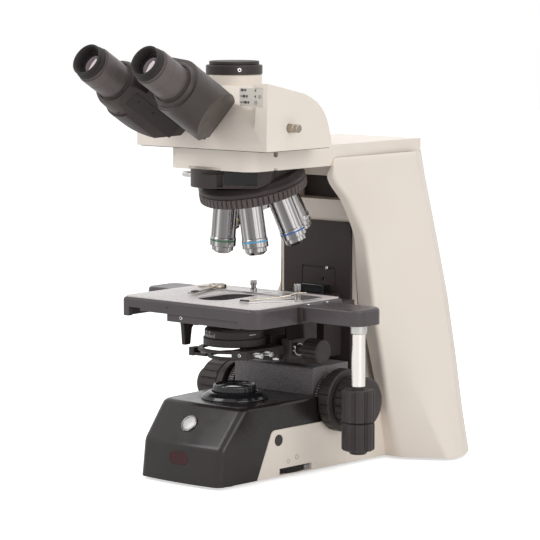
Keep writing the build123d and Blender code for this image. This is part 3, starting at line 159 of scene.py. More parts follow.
SPECKLED.vary_colour(900, (0.27, 0.245, 0.255), start=0.42, end=0.6)
GREY_TEXTURE = SPECKLED.material
BLACK_PLASTIC = grained("black_plastic", (0.040, 0.032, 0.030), 0.42, 2200, 0.2, (0.049, 0.040, 0.038), 0.3).material
RUBBER = grained("black_rubber", (0.024, 0.020, 0.019), 0.55, 1800, 0.3, (0.032, 0.028, 0.026), 0.25).material


def bright_chrome(name, rough):
    """Bright plating whose base colour carries painted reflections: light and dark bands, set by the facing angle,
    stand in for the streaks a barrel reflects from a plain room.
    """
    look = Look(name, (0.6, 0.58, 0.58), rough, metal=1.0)
    look.vary_rough(60, 0.05, (1, 1, 60))
    look.bump(look.noise(90, 2, (1, 1, 60)), 0.06, 0.0001)
    rim = look.node("ShaderNodeLayerWeight", Blend=0.5)
    ramp = look.node("ShaderNodeValToRGB")
    stops = ramp.color_ramp.elements
    stops[0].position = 0.0
    stops[1].position = 1.0
    # Painted reflections: grey levels of the bands that stand in for the room reflected in the barrel, by facing angle.
    painted_reflection_bands = [(0.03, 0.20), (0.10, 0.34), (0.15, 0.80), (0.24, 0.34), (0.34, 0.22), (0.44, 0.62), (0.55, 0.28),
               (0.68, 0.72), (0.84, 0.45)]
    for place, level in painted_reflection_bands:
        stop = stops.new(place)
        stop.color = (level, level * 0.965, level * 0.96, 1)
    # Painted reflection: dark where the barrel faces the view, bright towards its edges.
    stops[0].color = (0.22, 0.21, 0.21, 1)
    stops[len(stops) - 1].color = (0.80, 0.78, 0.77, 1)
    look.link(rim.outputs["Facing"], ramp.inputs["Fac"])
    look.link(ramp.outputs["Color"], look.shader.inputs["Base Color"])
    return look.material


CHROME = bright_chrome("objective_chrome", 0.15)
PILLAR_STEEL = turned("pillar_steel", (0.97, 0.92, 0.86), 0.2).material
BADGE_STEEL = turned("badge_steel", (0.50, 0.49, 0.48), 0.3).material
STEEL = turned("turned_steel", (0.66, 0.65, 0.63), 0.24).material
CASTING = grained("raw_casting", (0.30, 0.30, 0.31), 0.55, 900, 0.5, (0.36, 0.36, 0.37)).material


def lens_look(name, colour, coat):
    look = Look(name, colour, 0.04, spec=0.8)
    look.coat(1.0, 0.02)
    look.shader.inputs["Coat Tint"].default_value = (*coat, 1)
    look.vary_colour(30, tuple(min(1, c * 1.3 + 0.004) for c in colour))
    return look.material


LENS = lens_look("coated_lens", (0.010, 0.009, 0.011), (1.0, 0.78, 0.85))
FIELD_LENS = lens_look("field_glass", (0.05, 0.055, 0.06), (0.9, 0.95, 1.0))
WINDOW = paint("red_window", (0.050, 0.014, 0.016), 0.18, (0.056, 0.017, 0.019), 0.01, 0.25).material


def tint(name, colour, rough=0.35):
    look = Look(name, colour, rough)
    look.vary_rough(80, 0.05)
    look.vary_colour(30, tuple(c * 0.85 for c in colour))
    return look.material


BLACK_LEATHER = grained("moulded_gloss", (0.018, 0.014, 0.013), 0.22, 1300, 0.12, (0.023, 0.018, 0.017), 0.4).material
GRIP = grained("grip_rubber", (0.088, 0.070, 0.067), 0.46, 1800, 0.15, (0.104, 0.083, 0.080), 0.3).material
STAGE_BLACK = paint("stage_black", (0.075, 0.062, 0.066), 0.3, (0.086, 0.072, 0.076), 0.05, 0.35).material
STAGE_PLATE = paint("stage_plate", (0.78, 0.72, 0.705), 0.3, (0.76, 0.70, 0.685), 0.0).material
STEEL_SATIN = turned("satin_steel", (0.60, 0.58, 0.57), 0.3, (1, 30, 1), 0.06, 0.05).material
BRASS = turned("spring_wire", (0.60, 0.54, 0.45), 0.3).material
WHITE_PRINT = tint("white_print", (0.75, 0.75, 0.74), 0.5)
RING_LOOKS = {
    "4x": tint("ring_red", (0.55, 0.02, 0.02)), "10x": tint("ring_yellow", (0.70, 0.48, 0.02)),
    "20x": tint("ring_green", (0.01, 0.16, 0.05)), "40x": tint("ring_light_blue", (0.05, 0.42, 0.70)),
    "60x": tint("ring_blue", (0.02, 0.14, 0.50)), "100x": tint("ring_white", (0.75, 0.75, 0.74)),
}
SIGN = tint("printed_sign", (0.12, 0.12, 0.13), 0.5)
LABEL_GREY = paint("label_grey", (0.72, 0.675, 0.615), 0.4, (0.70, 0.655, 0.595), 0.03).material
ROD_STEEL = turned("rod_steel", (0.42, 0.37, 0.31), 0.32).material

CAD_LOOKS = {
    "base_casting": CASTING, "base_housing": BLACK_GLOSS, "rubber_feet": RUBBER, "sensor_window": WINDOW,
    "column": CREAM, "column_panel": BLACK_SATIN, "arm": CREAM, "side_cover_right": CREAM_PLASTIC,
    "side_cover_left": CREAM_PLASTIC, "rear_cover": CREAM_PLASTIC, "power_inlet": BLACK_PLASTIC,
    "power_switch": BLACK_PLASTIC, "focus_housing": GREY_TEXTURE, "tension_ring": BLACK_PLASTIC,
    "scale_ring": BLACK_SATIN, "coarse_drive": BLACK_SATIN, "coarse_knob_right": BLACK_SATIN,
    "fine_drive": BLACK_SATIN, "fine_knob_right": BLACK_SATIN, "field_lens_collar": BLACK_SATIN,
    "field_lens": FIELD_LENS, "field_diaphragm_ring": BLACK_SATIN, "led_module": CASTING,
    "light_wheel": RUBBER, "eco_button": BLACK_PLASTIC, "nosepiece_mount": BLACK_SATIN,
    "analyser_slider": STEEL, "turret": BLACK_SATIN, "stage_body": BLACK_GLOSS, "stage_surface": BLACK_GLOSS,
    "xy_pillar": STEEL, "x_knob": BLACK_PLASTIC, "y_knob": BLACK_PLASTIC, "slide_holder": BLACK_SATIN,
    "slide_clip": BLACK_SATIN, "stage_carrier": BLACK_SATIN, "condenser_knob": BLACK_PLASTIC,
    "condenser_carrier": BLACK_SATIN, "centring_screws": STEEL, "condenser_body": BLACK_SATIN,
    "condenser_lens": LENS, "condenser_iris_ring": BLACK_SATIN, "swing_lens": BLACK_SATIN,
    "filter_holder": BLACK_SATIN, "head_housing": CREAM, "photo_port_ring": BLACK_SATIN,
    "photo_port_cap": BLACK_PLASTIC, "splitter_rod": STEEL,
}
for label in ("right", "left"):
    CAD_LOOKS[f"eyepiece_tube_{label}"] = BLACK_TUBE
    CAD_LOOKS[f"eyepiece_{label}"] = BLACK_SATIN
    CAD_LOOKS[f"eyecup_{label}"] = RUBBER
for power in ("4x", "10x", "20x", "40x", "60x", "100x"):
    CAD_LOOKS[f"objective_{power}"] = CHROME
for node, look in CAD_LOOKS.items():
    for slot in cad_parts[node].material_slots:
        slot.material = look


# Shapes, each a list of corners and a list of faces, in millimetres

def at(x=0.0, y=0.0, z=0.0):
    return Matrix.Translation((x, y, z))


def turn(axis, angle):
    return Matrix.Rotation(radians(angle), 4, axis)


def moved(shape, place):
    verts, faces = shape
    return [place @ Vector(v) for v in verts], faces


def join(*shapes):
    verts, faces = [], []
    for more, sides in shapes:
        start = len(verts)
        verts += list(more)
        faces += [tuple(start + i for i in side) for side in sides]
    return verts, faces


def rings(rows, closed=False):
    """A skin over rows of points; closed joins the last row to the first."""
    count = len(rows[0])
    verts = [p for row in rows for p in row]
    faces = []
    steps = len(rows) if closed else len(rows) - 1
    for r in range(steps):
        s = (r + 1) % len(rows)
        for i in range(count):
            j = (i + 1) % count
            faces.append((r * count + i, r * count + j, s * count + j, s * count + i))
    if not closed:
        faces.append(tuple(range(count))[::-1])
        faces.append(tuple((len(rows) - 1) * count + i for i in range(count)))
    return verts, faces


def lathe(profile, count=72, wave=None):
    """A turned shape from (radius, height) points; wave(angle, r, z) gives ribs."""
    rows = []
    for r, z in profile:
        row = []
        for i in range(count):
            a = 2 * pi * i / count
            q = wave(a, r, z) if wave else r
            row.append((q * cos(a), q * sin(a), z))
        rows.append(row)
    return rings(rows)


def hollow(profile, count=72, wave=None):
    """A turned ring: the profile closes on itself."""
    rows = []
    for r, z in profile:
        rows.append([((wave(2 * pi * i / count, r, z) if wave else r) * cos(2 * pi * i / count),
                      (wave(2 * pi * i / count, r, z) if wave else r) * sin(2 * pi * i / count), z)
                     for i in range(count)])
    return rings(rows, closed=True)


def prism(outline, low, high):
    return rings([[(x, y, low) for x, y in outline], [(x, y, high) for x, y in outline]])


def block(x0, x1, y0, y1, z0, z1):
    return prism([(x0, y0), (x1, y0), (x1, y1), (x0, y1)], z0, z1)


def disc(r, low, high, count=48):
    return lathe([(r, low), (r, high)], count)


def rounded(corners, steps=6):
    """An outline with arcs at its corners; each corner is (x, y, radius)."""
    points = []
    count = len(corners)
    for i, (x, y, r) in enumerate(corners):
        here = Vector((x, y))
        before = (Vector(corners[i - 1][:2]) - here).normalized()
        after = (Vector(corners[(i + 1) % count][:2]) - here).normalized()
        if r <= 0:
            points.append((x, y))
            continue
        half = before.angle(after) / 2
        back = r / tan(half)
        centre = here + (before + after).normalized() * (r / sin(half))
        a, b = here + before * back - centre, here + after * back - centre
        sweep = a.angle_signed(b)
        for k in range(steps + 1):
            angle = -sweep * k / steps
            points.append((centre.x + a.x * cos(angle) - a.y * sin(angle),
                           centre.y + a.x * sin(angle) + a.y * cos(angle)))
    return points


def hull(points):
    """The outline of a set of points, round the outside."""
    points = sorted(set(points))

    def chain(source):
        out = []
        for p in source:
            while len(out) > 1 and ((out[-1][0] - out[-2][0]) * (p[1] - out[-2][1])
                                    - (out[-1][1] - out[-2][1]) * (p[0] - out[-2][0])) <= 0:
                out.pop()
            out.append(p)
        return out[:-1]
    return chain(points) + chain(points[::-1])


def circle(x, y, r, count=48):
    return [(x + r * cos(2 * pi * i / count), y + r * sin(2 * pi * i / count)) for i in range(count)]


def side_on(outline, low, high):
    """A prism along x from a (y, z) outline."""
    return rings([[(x, y, z) for y, z in outline] for x in (low, high)])




def raw_mesh(name, shape, place):
    verts, faces = shape
    mesh = bpy.data.meshes.new(name)
    mesh.from_pydata([(place @ Vector(v) - ORIGIN) * MM for v in verts], [], faces)
    work = bmesh.new()
    work.from_mesh(mesh)
    bmesh.ops.remove_doubles(work, verts=work.verts, dist=1e-6)
    bmesh.ops.recalc_face_normals(work, faces=work.faces)
    work.to_mesh(mesh)
    work.free()
    return mesh


def piece(name, shape, look, body, stands_for=(), place=Matrix(), bevel=0.0, rounds=2,
          cuts=(), adds=(), angle=32):
    """One finished piece: its shape, joined and cut shapes, soft edges, look and body."""
    thing = bpy.data.objects.new(name, raw_mesh(name, shape, place))
    bpy.context.scene.collection.objects.link(thing)
    tools = []
    for kind, shapes in (("UNION", adds), ("DIFFERENCE", cuts)):
        for extra in shapes:
            tool = bpy.data.objects.new(name + "_tool", raw_mesh(name + "_tool", extra, place))
            bpy.context.scene.collection.objects.link(tool)
            change = thing.modifiers.new("shape", "BOOLEAN")
            change.operation = kind
            change.object = tool
            change.solver = "MANIFOLD"
            tools.append(tool)
    if tools:
        done = bpy.data.meshes.new_from_object(thing.evaluated_get(bpy.context.evaluated_depsgraph_get()))
        thing.modifiers.clear()
        thing.data = done
        for tool in tools:
            bpy.data.objects.remove(tool)
    thing.data.materials.clear()
    thing.data.materials.append(look)
    thing.data.polygons.foreach_set("use_smooth", [True] * len(thing.data.polygons))
    thing.data.set_sharp_from_angle(angle=radians(angle))
    if bevel:
        soft = thing.modifiers.new("edges", "BEVEL")
        soft.width = bevel * MM
        soft.segments = rounds
        soft.limit_method = "ANGLE"
        soft.angle_limit = radians(angle)
        soft.use_clamp_overlap = True
    even = thing.modifiers.new("shading", "WEIGHTED_NORMAL")
    even.keep_sharp = True
    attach(thing, body)
    if stands_for:
        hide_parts(*stands_for)
    return thing


TURRET_PLACE = at(0, 0, 404) @ turn("X", 15)


# Base, column, arm and covers

BASE_GROW = 14.5 / 252
COVER_ROWS = [
    (3.0, (68.0, 165.0), (88.0, 166.0), (138.0, 196.0)),
    (55.0, (67.0, 157.0), (83.0, 152.0), (118.0, 190.0)),
    (120.0, (60.0, 147.0), (81.0, 141.0), (98.0, 172.0)),
    (171.0, (54.0, 137.0), (77.0, 134.5), (89.0, 166.0)),
    (231.0, (51.8, 134.0), (67.0, 135.0), (77.0, 165.0)),
    (275.0, (51.8, 113.0), (61.5, 116.5), (69.0, 160.0)),
    (308.0, (51.8, 86.5), (61.0, 87.5), (65.5, 150.0)),
    (317.2, (58.0, 86.5), (61.5, 86.5), (65.0, 150.0)),
    (325.5, (58.0, 88.5), (61.5, 88.5), (64.0, 150.0)),
]
REAR_HALVES = [(0, 134), (50, 124), (100, 116), (171, 103), (231, 88.5), (275, 77.5), (300, 71), (330, 65)]
COVER_WALL = 3.0
SPLIT_Y = 222.0


def base_half(y):
    return 55.0 + (y + 87.0) * BASE_GROW


def flowing(rows, z):
    """A smooth curve through rows of (height, value), at height z."""
    last = len(rows) - 2
    k = max([i for i in range(last + 1) if rows[i][0] <= z] + [0])
    (z0, a), (z1, b) = rows[k], rows[k + 1]

    def slope(i):
        if i == 0:
            return (rows[1][1] - rows[0][1]) / (rows[1][0] - rows[0][0])
        if i == len(rows) - 1:
            return (rows[-1][1] - rows[-2][1]) / (rows[-1][0] - rows[-2][0])
        before = (rows[i][1] - rows[i - 1][1]) / (rows[i][0] - rows[i - 1][0])
        after = (rows[i + 1][1] - rows[i][1]) / (rows[i + 1][0] - rows[i][0])
        return 0.0 if before * after < 0 else 2 * before * after / (before + after + 1e-12)
    h = z1 - z0
    t = (z - z0) / h
    return ((2 * t ** 3 - 3 * t ** 2 + 1) * a + (t ** 3 - 2 * t ** 2 + t) * h * slope(k)
            + (-2 * t ** 3 + 3 * t ** 2) * b + (t ** 3 - t ** 2) * h * slope(k + 1))


def base_rows(inset, low, top, rear, crown=5.0):
    """Plan outlines of the base, from the floor up, with a rounded upper edge."""
    profile = rounded([(-87.0 + inset, low, 0), (-82.0 + inset, 41.0, 14.0), (-50.0 + inset * 0.6, top, 9.0),
                       (rear, top, 0)], 10)
    points = []
    for (y0, z0), (y1, z1) in zip(profile[:-2], profile[1:-1]):
        steps = max(1, int(hypot(y1 - y0, z1 - z0) / 6))
        points += [(y0 + (y1 - y0) * k / steps, z0 + (z1 - z0) * k / steps) for k in range(steps)]
    points.append(profile[-2])
    rows = []
    for front, z in points:
        over = max(0.0, z - (top - crown))
        draw = inset + crown - sqrt(max(0.0, crown ** 2 - over ** 2))
        half_f, half_r = base_half(front) - draw, base_half(rear) - draw
        bow = 2.6
        corner = 9.0
        side = []
        for k in range(9):
            a = radians(90 * k / 8)
            side.append((half_f - corner + corner * sin(a), front + corner - corner * cos(a)))
        flat = [(x, front - bow * (1 - (x / (half_f - corner)) ** 2)) for x in
                [(half_f - corner) * k / 8 for k in range(-7, 8)]]
        outline = [(-x, y) for x, y in side[::-1]] + flat + side + [(half_r, rear), (-half_r, rear)]
        rows.append([(x, y, z) for x, y in outline])
    return rows


def panel_outline(grow, low=3.0):
    top = (-9.6 - grow, 52.0 + grow)
    lean = 22.0 / 49.0
    foot = (-31.6 - grow - (3.0 - low) * lean, low)
    return rounded([(foot[0], foot[1], 0), (top[0], top[1], 7.0), (165.0, 52.0 + grow, 0), (165.0, low, 0)], 8)


def drive_pockets(side):
    def bore(r, x0):
        return moved(disc(r, x0, 300, 96), at(0, 88, 73) @ turn("Y", 90 * side))
    return [bore(29.3, 55), bore(34.3, 65.4)] if side > 0 else [bore(29.3, 55)]


def base():
    outer = rings(base_rows(0, 3.0, 79.0, 61.7))
    room = rings(base_rows(3.5, 1.0, 75.5, 150.0, 2.0))
    sides = []
    for side in (-1, 1):
        wall = side_on(panel_outline(0.35, 1.0), 47, 200)
        sides.append(moved(wall, Matrix.Scale(side, 4, (1, 0, 0))))
    window_cut = moved(prism(circle(-6.5, 0, 6.9, 48)[12:37] + circle(6.5, 0, 6.9, 48)[36:] + circle(6.5, 0, 6.9, 48)[:13],
                             -2.6, 3), window_place())
    cuts = [room] + sides + drive_pockets(1) + drive_pockets(-1) + [
        moved(disc(22.6, 60, 100, 96), at()), window_cut]
    piece("base_shell", outer, BLACK_LEATHER, "stand", ("base_housing",), cuts=cuts, bevel=0.5, rounds=2,
          angle=40)
    place = badge_place()
    rim = [(7.4, 0.2), (7.4, 1.2), (7.7, 1.5), (8.9, 1.6), (9.3, 1.1), (9.3, -1.5), (7.4, -1.5)]
    piece("badge_rim", hollow(rim, 96), CHROME, "stand", place=place)
    plate = [(7.45, -1.5), (7.45, 0.75), (6.4, 0.8), (6.2, 1.0), (3.5, 1.15), (0.01, 1.2)]
    piece("badge_plate", lathe(plate, 96), BADGE_STEEL, "stand", place=place)
    slot = slot_outline(13.0, 6.5)
    dome = rings([[(x * s, y * s, h) for x, y in slot] for s, h in ((1, -2.4), (1, -0.35), (0.97, 0.1), (0.9, 0.25))])
    piece("red_window", dome, WINDOW, "stand", ("sensor_window",), place=window_place())
    rim_out, rim_in = slot_outline(13.6, 7.1), slot_outline(13.05, 6.55)
    edge = rings([[(x, y, h) for x, y in o] for o, h in ((rim_out, -1.0), (rim_out, 0.0), (rim_in, 0.0), (rim_in, -1.0))],
                 closed=True)
    piece("window_edge", edge, BLACK_PLASTIC, "stand", place=window_place())


def slot_outline(half, r):
    left = [(-half + r + r * cos(a), r * sin(a)) for a in [radians(90 + 180 * k / 16) for k in range(17)]]
    right = [(half - r + r * cos(a), r * sin(a)) for a in [radians(-90 + 180 * k / 16) for k in range(17)]]
    return left + right


def slope_place(y0, z0, y1, z1, z, out=0.0):
    share = (z - z0) / (z1 - z0)
    up = Vector((0, y1 - y0, z1 - z0)).normalized()
    face = Vector((1, 0, 0)).cross(up)
    place = Matrix(((1, up.x, face.x, 0), (0, up.y, face.y, y0 + (y1 - y0) * share), (0, up.z, face.z, z), (0, 0, 0, 1)))
    return place @ at(0, 0, out)


def window_place():
    return slope_place(-87.0, 3.0, -82.0, 41.0, 27.3, 2.5)


def badge_place():
    return slope_place(-82.0, 41.0, -50.0, 79.0, 59.0, 2.3) @ at(-1, 0, 0)


def eased(t):
    t = max(0.0, min(1.0, t))
    return t * t * (3 - 2 * t)


def cover_row(z, side=1):
    root = [flowing([(r[0], r[1][i]) for r in COVER_ROWS], z) for i in (0, 1)]
    corner = [flowing([(r[0], r[2][i]) for r in COVER_ROWS], z) for i in (0, 1)]
    flare = [flowing([(r[0], r[3][i]) for r in COVER_ROWS], z) for i in (0, 1)]
    back = flowing(REAR_HALVES, z)
    if side < 0:
        close = eased((z - 145) / 40) * (1 - eased((z - 248) / 24))
        root[1] += close * max(0.0, 136.9 - root[1])
        corner = [corner[0] + close * (54.0 - corner[0]), corner[1] + close * (137.4 - corner[1])]
        flare[0] += close * (71.0 - flare[0])
    reach = min(hypot(corner[0] - root[0], corner[1] - root[1]) * 0.45, 5.0)
    soft = [(root[0], root[1], 0), (corner[0], corner[1], reach), (flare[0], flare[1], 60.0), (back, SPLIT_Y, 0)]
    line = []
    for i, (x, y, r) in enumerate(soft):
        if r <= 0:
            line.append((x, y))
            continue
        here = Vector((x, y))
        a, b = Vector(soft[i - 1][:2]) - here, Vector(soft[i + 1][:2]) - here
        size = min(r, a.length * 0.45, b.length * 0.45) if i == 2 else reach
        p, q = here + a.normalized() * size, here + b.normalized() * size
        for k in range(9):
            t = k / 8
            dot = p * (1 - t) ** 2 + here * 2 * t * (1 - t) + q * t ** 2
            line.append((dot.x, dot.y))
    inside = []
    for i, (x, y) in enumerate(line):
        a = Vector(line[max(0, i - 1)])
        b = Vector(line[min(len(line) - 1, i + 1)])
        along = (b - a).normalized()
        inside.append((x - along.y * COVER_WALL, y + along.x * COVER_WALL))
    inside[0] = (line[0][0], line[0][1] + COVER_WALL)
    inside[-1] = (line[-1][0] - COVER_WALL, line[-1][1])
    return [(x, y, z) for x, y in line + inside[::-1]]


def side_panel(side):
    heights = [3 + (317.2 - 3) * k / 66 for k in range(67)] + [319, 321.5, 323.6, 324.9, 325.5]
    rows = []
    for z in heights:
        row = cover_row(z, side)
        if z > 319:
            over = (z - 319) / 6.5
            shift = 6.0 * (1 - sqrt(max(0.0, 1 - over ** 2)))
            first = min(y for _, y, _ in row)
            row = [(x - 1.2 * (1 - sqrt(max(0.0, 1 - over ** 2))) if x > 60 else x,
                    y + shift * max(0.0, 1 - (y - first) / 60), h) for x, y, h in row]
        rows.append(row)
    shell = rings(rows)
    outline = panel_outline(0)
    wall = rings([[(base_half(y) - d, y, z) for y, z in outline] for d in (3.5, 0)])
    cuts = list(drive_pockets(side))
    mirror = Matrix.Scale(side, 4, (1, 0, 0))
    if side > 0:
        cuts.append(block(45, 80, 1, 49, 7.7 - 3.3, 7.7 + 3.3))
        cuts.append(moved(disc(6.0, 40, 80, 64), at(0, 0, 40.8) @ turn("Y", 90)))
    label = "right" if side > 0 else "left"
    piece(f"cover_{label}", moved(shell, mirror), CREAM_PLASTIC, "stand", (f"side_cover_{label}",),
          adds=[moved(wall, mirror)], cuts=cuts, bevel=0.6, rounds=2, angle=38)


def column_body():
    points = [(137.0, 9.0), (137.0, 254.5)]
    for k in range(1, 31):
        a = radians(90 * k / 30)
        points.append((98 + 39 * cos(a), 254.5 + 51.5 * sin(a)))
    points += [(98.0, 317.5), (236.0, 317.5), (236.0, 9.0)]
    cuts = [block(-41.5, 41.5, 147, 250, 19, 267), block(-38, 38, 80, 159, 277, 305)]
    piece("column_frame", side_on(points, -51.5, 51.5), CREAM, "stand", ("column",), cuts=cuts,
          bevel=1.2, rounds=3, angle=38)
    bracket = join(block(4.7, 12.7, 229, 239.7, 18, 38), block(27.8, 29.8, 229, 239.7, 18, 38))
    piece("switch_cheeks", bracket, BLACK_PLASTIC, "stand", bevel=0.4)
    # A black sheet at the back of the recess under the arm: painted shade for the dark recess.
    recess_shade_outline = [(-37.9, 277.1), (37.9, 277.1), (37.9, 304.9), (-37.9, 304.9)]
    back = rings([[(x, 158.9, z) for x, z in recess_shade_outline], [(x, 158.0, z) for x, z in recess_shade_outline]])
    piece("recess_shade_sheet", back, BLACK_SATIN, "stand", bevel=0.2)


def panel():
    plate = block(-46, 46, 133.35, 136.95, 96, 254)
    cuts = [block(-20.5, 25.5, 130, 134.9, 202, 204.6), moved(disc(2.1, -5, 5, 32), at(9, 134, 191) @ turn("X", 90)),
            block(-20.5, -19.7, 130, 134.4, 150, 204.6), block(24.7, 25.5, 130, 134.4, 150, 204.6)]
    piece("panel_plate", plate, PANEL_BLACK, "stand", ("column_panel",), cuts=cuts, bevel=0.5)
    rails = block(-18, 18, 121.35, 133.4, 112, 186)
    piece("slide_rail", rails, BLACK_GLOSS, "stand", bevel=1.0,
          cuts=[block(-14, 14, 100, 124.5, 100, 260)])
    screw("panel_screw", at(13.7, 133.2, 203.6) @ turn("X", 90), 1.9, "stand")


def arm_slab():
    outline = rounded([(-57.7, -39.4, 15), (57.7, -39.4, 15), (57.7, 239.7, 0), (-57.7, 239.7, 0)], 14)
    sweep = moved(disc(58, -200, -97.7, 128), TURRET_PLACE)
    cuts = [sweep, moved(disc(18, 300, 350, 96), at()), moved(disc(24.1, 331.9, 350, 96), at())]
    for z, low, high in ((334.6, 334.6, 345), (316.6, 300, 316.6)):
        for side in (-1, 1):
            hole = moved(disc(3.6, 53.0 * side, 70 * side, 32), at(0, -2, z) @ turn("Y", 90))
            cuts.append(hole)
            cuts.append(block(*sorted((53.0 * side, 70 * side)), -5.6, 1.6, low, high))
    cuts.append(block(-27, 16, -45, -36.5, 310, 320.6))
    piece("arm_slab", prism(outline, 317.5, 339), CREAM, "stand", ("arm",), cuts=cuts, bevel=1.0,
          rounds=3, angle=40)
    for k, z in enumerate((334.4, 318.6)):
        screw(f"arm_screw_{k}", at(53.0, -2, z) @ turn("Y", 90), 2.9, "stand", BLACK_SATIN)


def wheel_and_button():
    wheel_x = base_half(25) + 1.5 - 28
    knurl = lambda a, r, z: r - (0.7 if r > 20 and int(a * 96 / pi) % 2 else 0)
    profile = [(3.1, -2.7), (27.4, -2.7), (28, -2.2), (28, 2.2), (27.4, 2.7), (3.1, 2.7)]
    piece("dimmer_wheel", hollow(profile, 384, knurl), RUBBER, "wheel", ("light_wheel",),
          place=at(wheel_x, 25, 7.7))
    face = base_half(0) + 0.8
    knob = [(5.8, -9), (5.8, -0.8), (5.3, -0.15), (4.5, 0), (0.01, -0.1)]
    piece("side_button", lathe(knob, 64), BLACK_PLASTIC, "button", ("eco_button",),
          place=at(face, 0, 40.8) @ turn("Y", 90))
    signs = []
    for y, z, sun in ((14, 17.2, False), (27, 20.0, True)):
        x = base_half(y)
        tilt = at(x, y, z) @ turn("Z", -degrees(atan2(BASE_GROW, 1)) + 0) @ turn("Y", 90)
        ring = [(1.75, -0.2), (1.75, 0.1), (2.1, 0.1), (2.1, -0.2)]
        signs.append(moved(hollow(ring, 32), tilt))
        if sun:
            for k in range(8):
                signs.append(moved(block(2.5, 3.3, -0.15, 0.15, -0.2, 0.1), tilt @ turn("Z", 45 * k)))
    piece("lamp_signs", join(*signs), SIGN, "stand")


# Head and binocular

EYE = at(0, -175.5, 432.5) @ Matrix(((1, 0, 0, 0), (0, 0.5, -0.8660254, 0), (0, 0.8660254, 0.5, 0), (0, 0, 0, 1)))
PIVOT_V = 16.0
EYE_U = 39.0
TUBE_END = 140.0
CLOSING = 33.9


def head():
    outline = [(-52, 340), (-50, 407.5), (7.5, 395.6), (14, 393.0), (21, 389.8), (27.5, 386.2), (33, 381.8),
               (37.3, 377.2), (40.6, 372.6), (43.2, 367.8), (45.2, 362.6), (47.2, 356), (49.6, 347), (51.4, 340)]
    body = side_on(outline, -88, 88)
    cone = moved(lathe([(58, -60), (72.6, -112), (72.6, -143)], 96), EYE @ at(0, PIVOT_V, 0))
    cuts = [cone]
    low, high = head_front(383.4), head_front(404.0)
    corner = [(48.5, low - 3, 383.4), (48.5, high - 3, 404.0), (82.5, high - 3, 404.0), (82.5, low - 3, 383.4)]
    floor = [(51.0, low + 0.8, 384.2), (50.0, high + 0.8, 403.2), (82.0, high + 0.8, 403.2), (82.0, low + 0.8, 384.2)]
    cuts.append(rings([corner, floor]))
    cuts.append(moved(disc(4.6, 0, 40), at(60, -16.8, 362.4) @ turn("Y", 90)))
    piece("head_shell", body, CREAM, "head", ("head_housing",), bevel=3.2, rounds=4, cuts=cuts)
    field = [(51.3, 384.6), (50.4, 402.8), (81.7, 402.8), (81.7, 384.6)]
    plate = rings([[(x, head_front(z) + out, z) for x, z in field] for out in (0.95, 0.45)])
    piece("label_field", plate, LABEL_GREY, "head", bevel=0.1)
    # A thin black sheet fills the 1 mm gap between arm and head: painted shade for the shadow in that gap.
    gap_shade_outline = rounded([(-86, -50.4, 3), (86, -50.4, 3), (86, 50.5, 3), (-86, 50.5, 3)])
    piece("head_gap_shade", prism(gap_shade_outline, 339.3, 340.4), BLACK_PLASTIC, "head",
          cuts=[moved(disc(24.5, 330, 350, 64), at())])
    neck = [(28.4, 380), (28.4, 412.8), (27.6, 413.6), (20, 413.6), (20, 380)]
    piece("camera_tube", hollow(neck, 96), CREAM, "head")
    boss = [(16.7, -146), (16.7, -101.6), (15.7, -100.6), (6, -100.6), (6, -47.5), (9.4, -47.3), (10, -46.7),
            (10, -45.6), (9.4, -45), (4.2, -45), (3.6, -46), (0.01, -46)]
    piece("pivot", lathe(boss, 64), BLACK_SATIN, "head", place=EYE @ at(0, PIVOT_V, 0))
    foot = [(23.9, 332), (23.9, 340.5), (8, 340.5), (8, 332)]
    piece("head_foot", hollow(foot, 64), STEEL, "head")
    ring = [(22, 413.7), (28.6, 413.7), (29, 414.1), (29, 422.4), (28.4, 423.1), (26.2, 423.2), (26, 422.7), (22, 422.7)]
    piece("port_ring", hollow(ring, 128), BLACK_SATIN, "head", ("photo_port_ring",))
    cap = [(0.01, 423.4), (24.2, 423.4), (25.4, 423.6), (25.6, 424.2), (25.6, 426.4), (25.0, 427.1), (23.2, 427.2),
           (22.6, 426.7), (0.01, 426.7)]
    piece("port_cap", lathe(cap[::-1], 128), BLACK_PLASTIC, "port_cap", ("photo_port_cap",))
    screw("port_screw", at(0, 0, 418.6) @ turn("Z", -38) @ at(28.7, 0, 0) @ turn("Y", 90), 2.2, "head")
    rod = [(4.2, -58), (4.2, 6.5), (3.6, 7.1), (3.6, 7.6), (4.2, 8.1), (4.2, 12.2), (3.5, 13), (0.01, 13)]
    piece("beam_rod", lathe(rod, 48), ROD_STEEL, "splitter", ("splitter_rod",),
          place=at(88, -16.8, 362.4) @ turn("Y", 90))
    label_icons()


def screw(name, place, r, body, look=None, drive=True):
    """A small screw head with a round socket, its face along +z."""
    top = [(r, -0.8), (r, 0.1), (r * 0.82, 0.5), (r * 0.5, 0.5)]
    shape = lathe(top + [(r * 0.42, -0.3), (0.01, -0.3)], 24)
    piece(name, shape, look or STEEL, body, place=place)


def head_front(z):
    return -52 + 2 * (z - 340) / 67.5


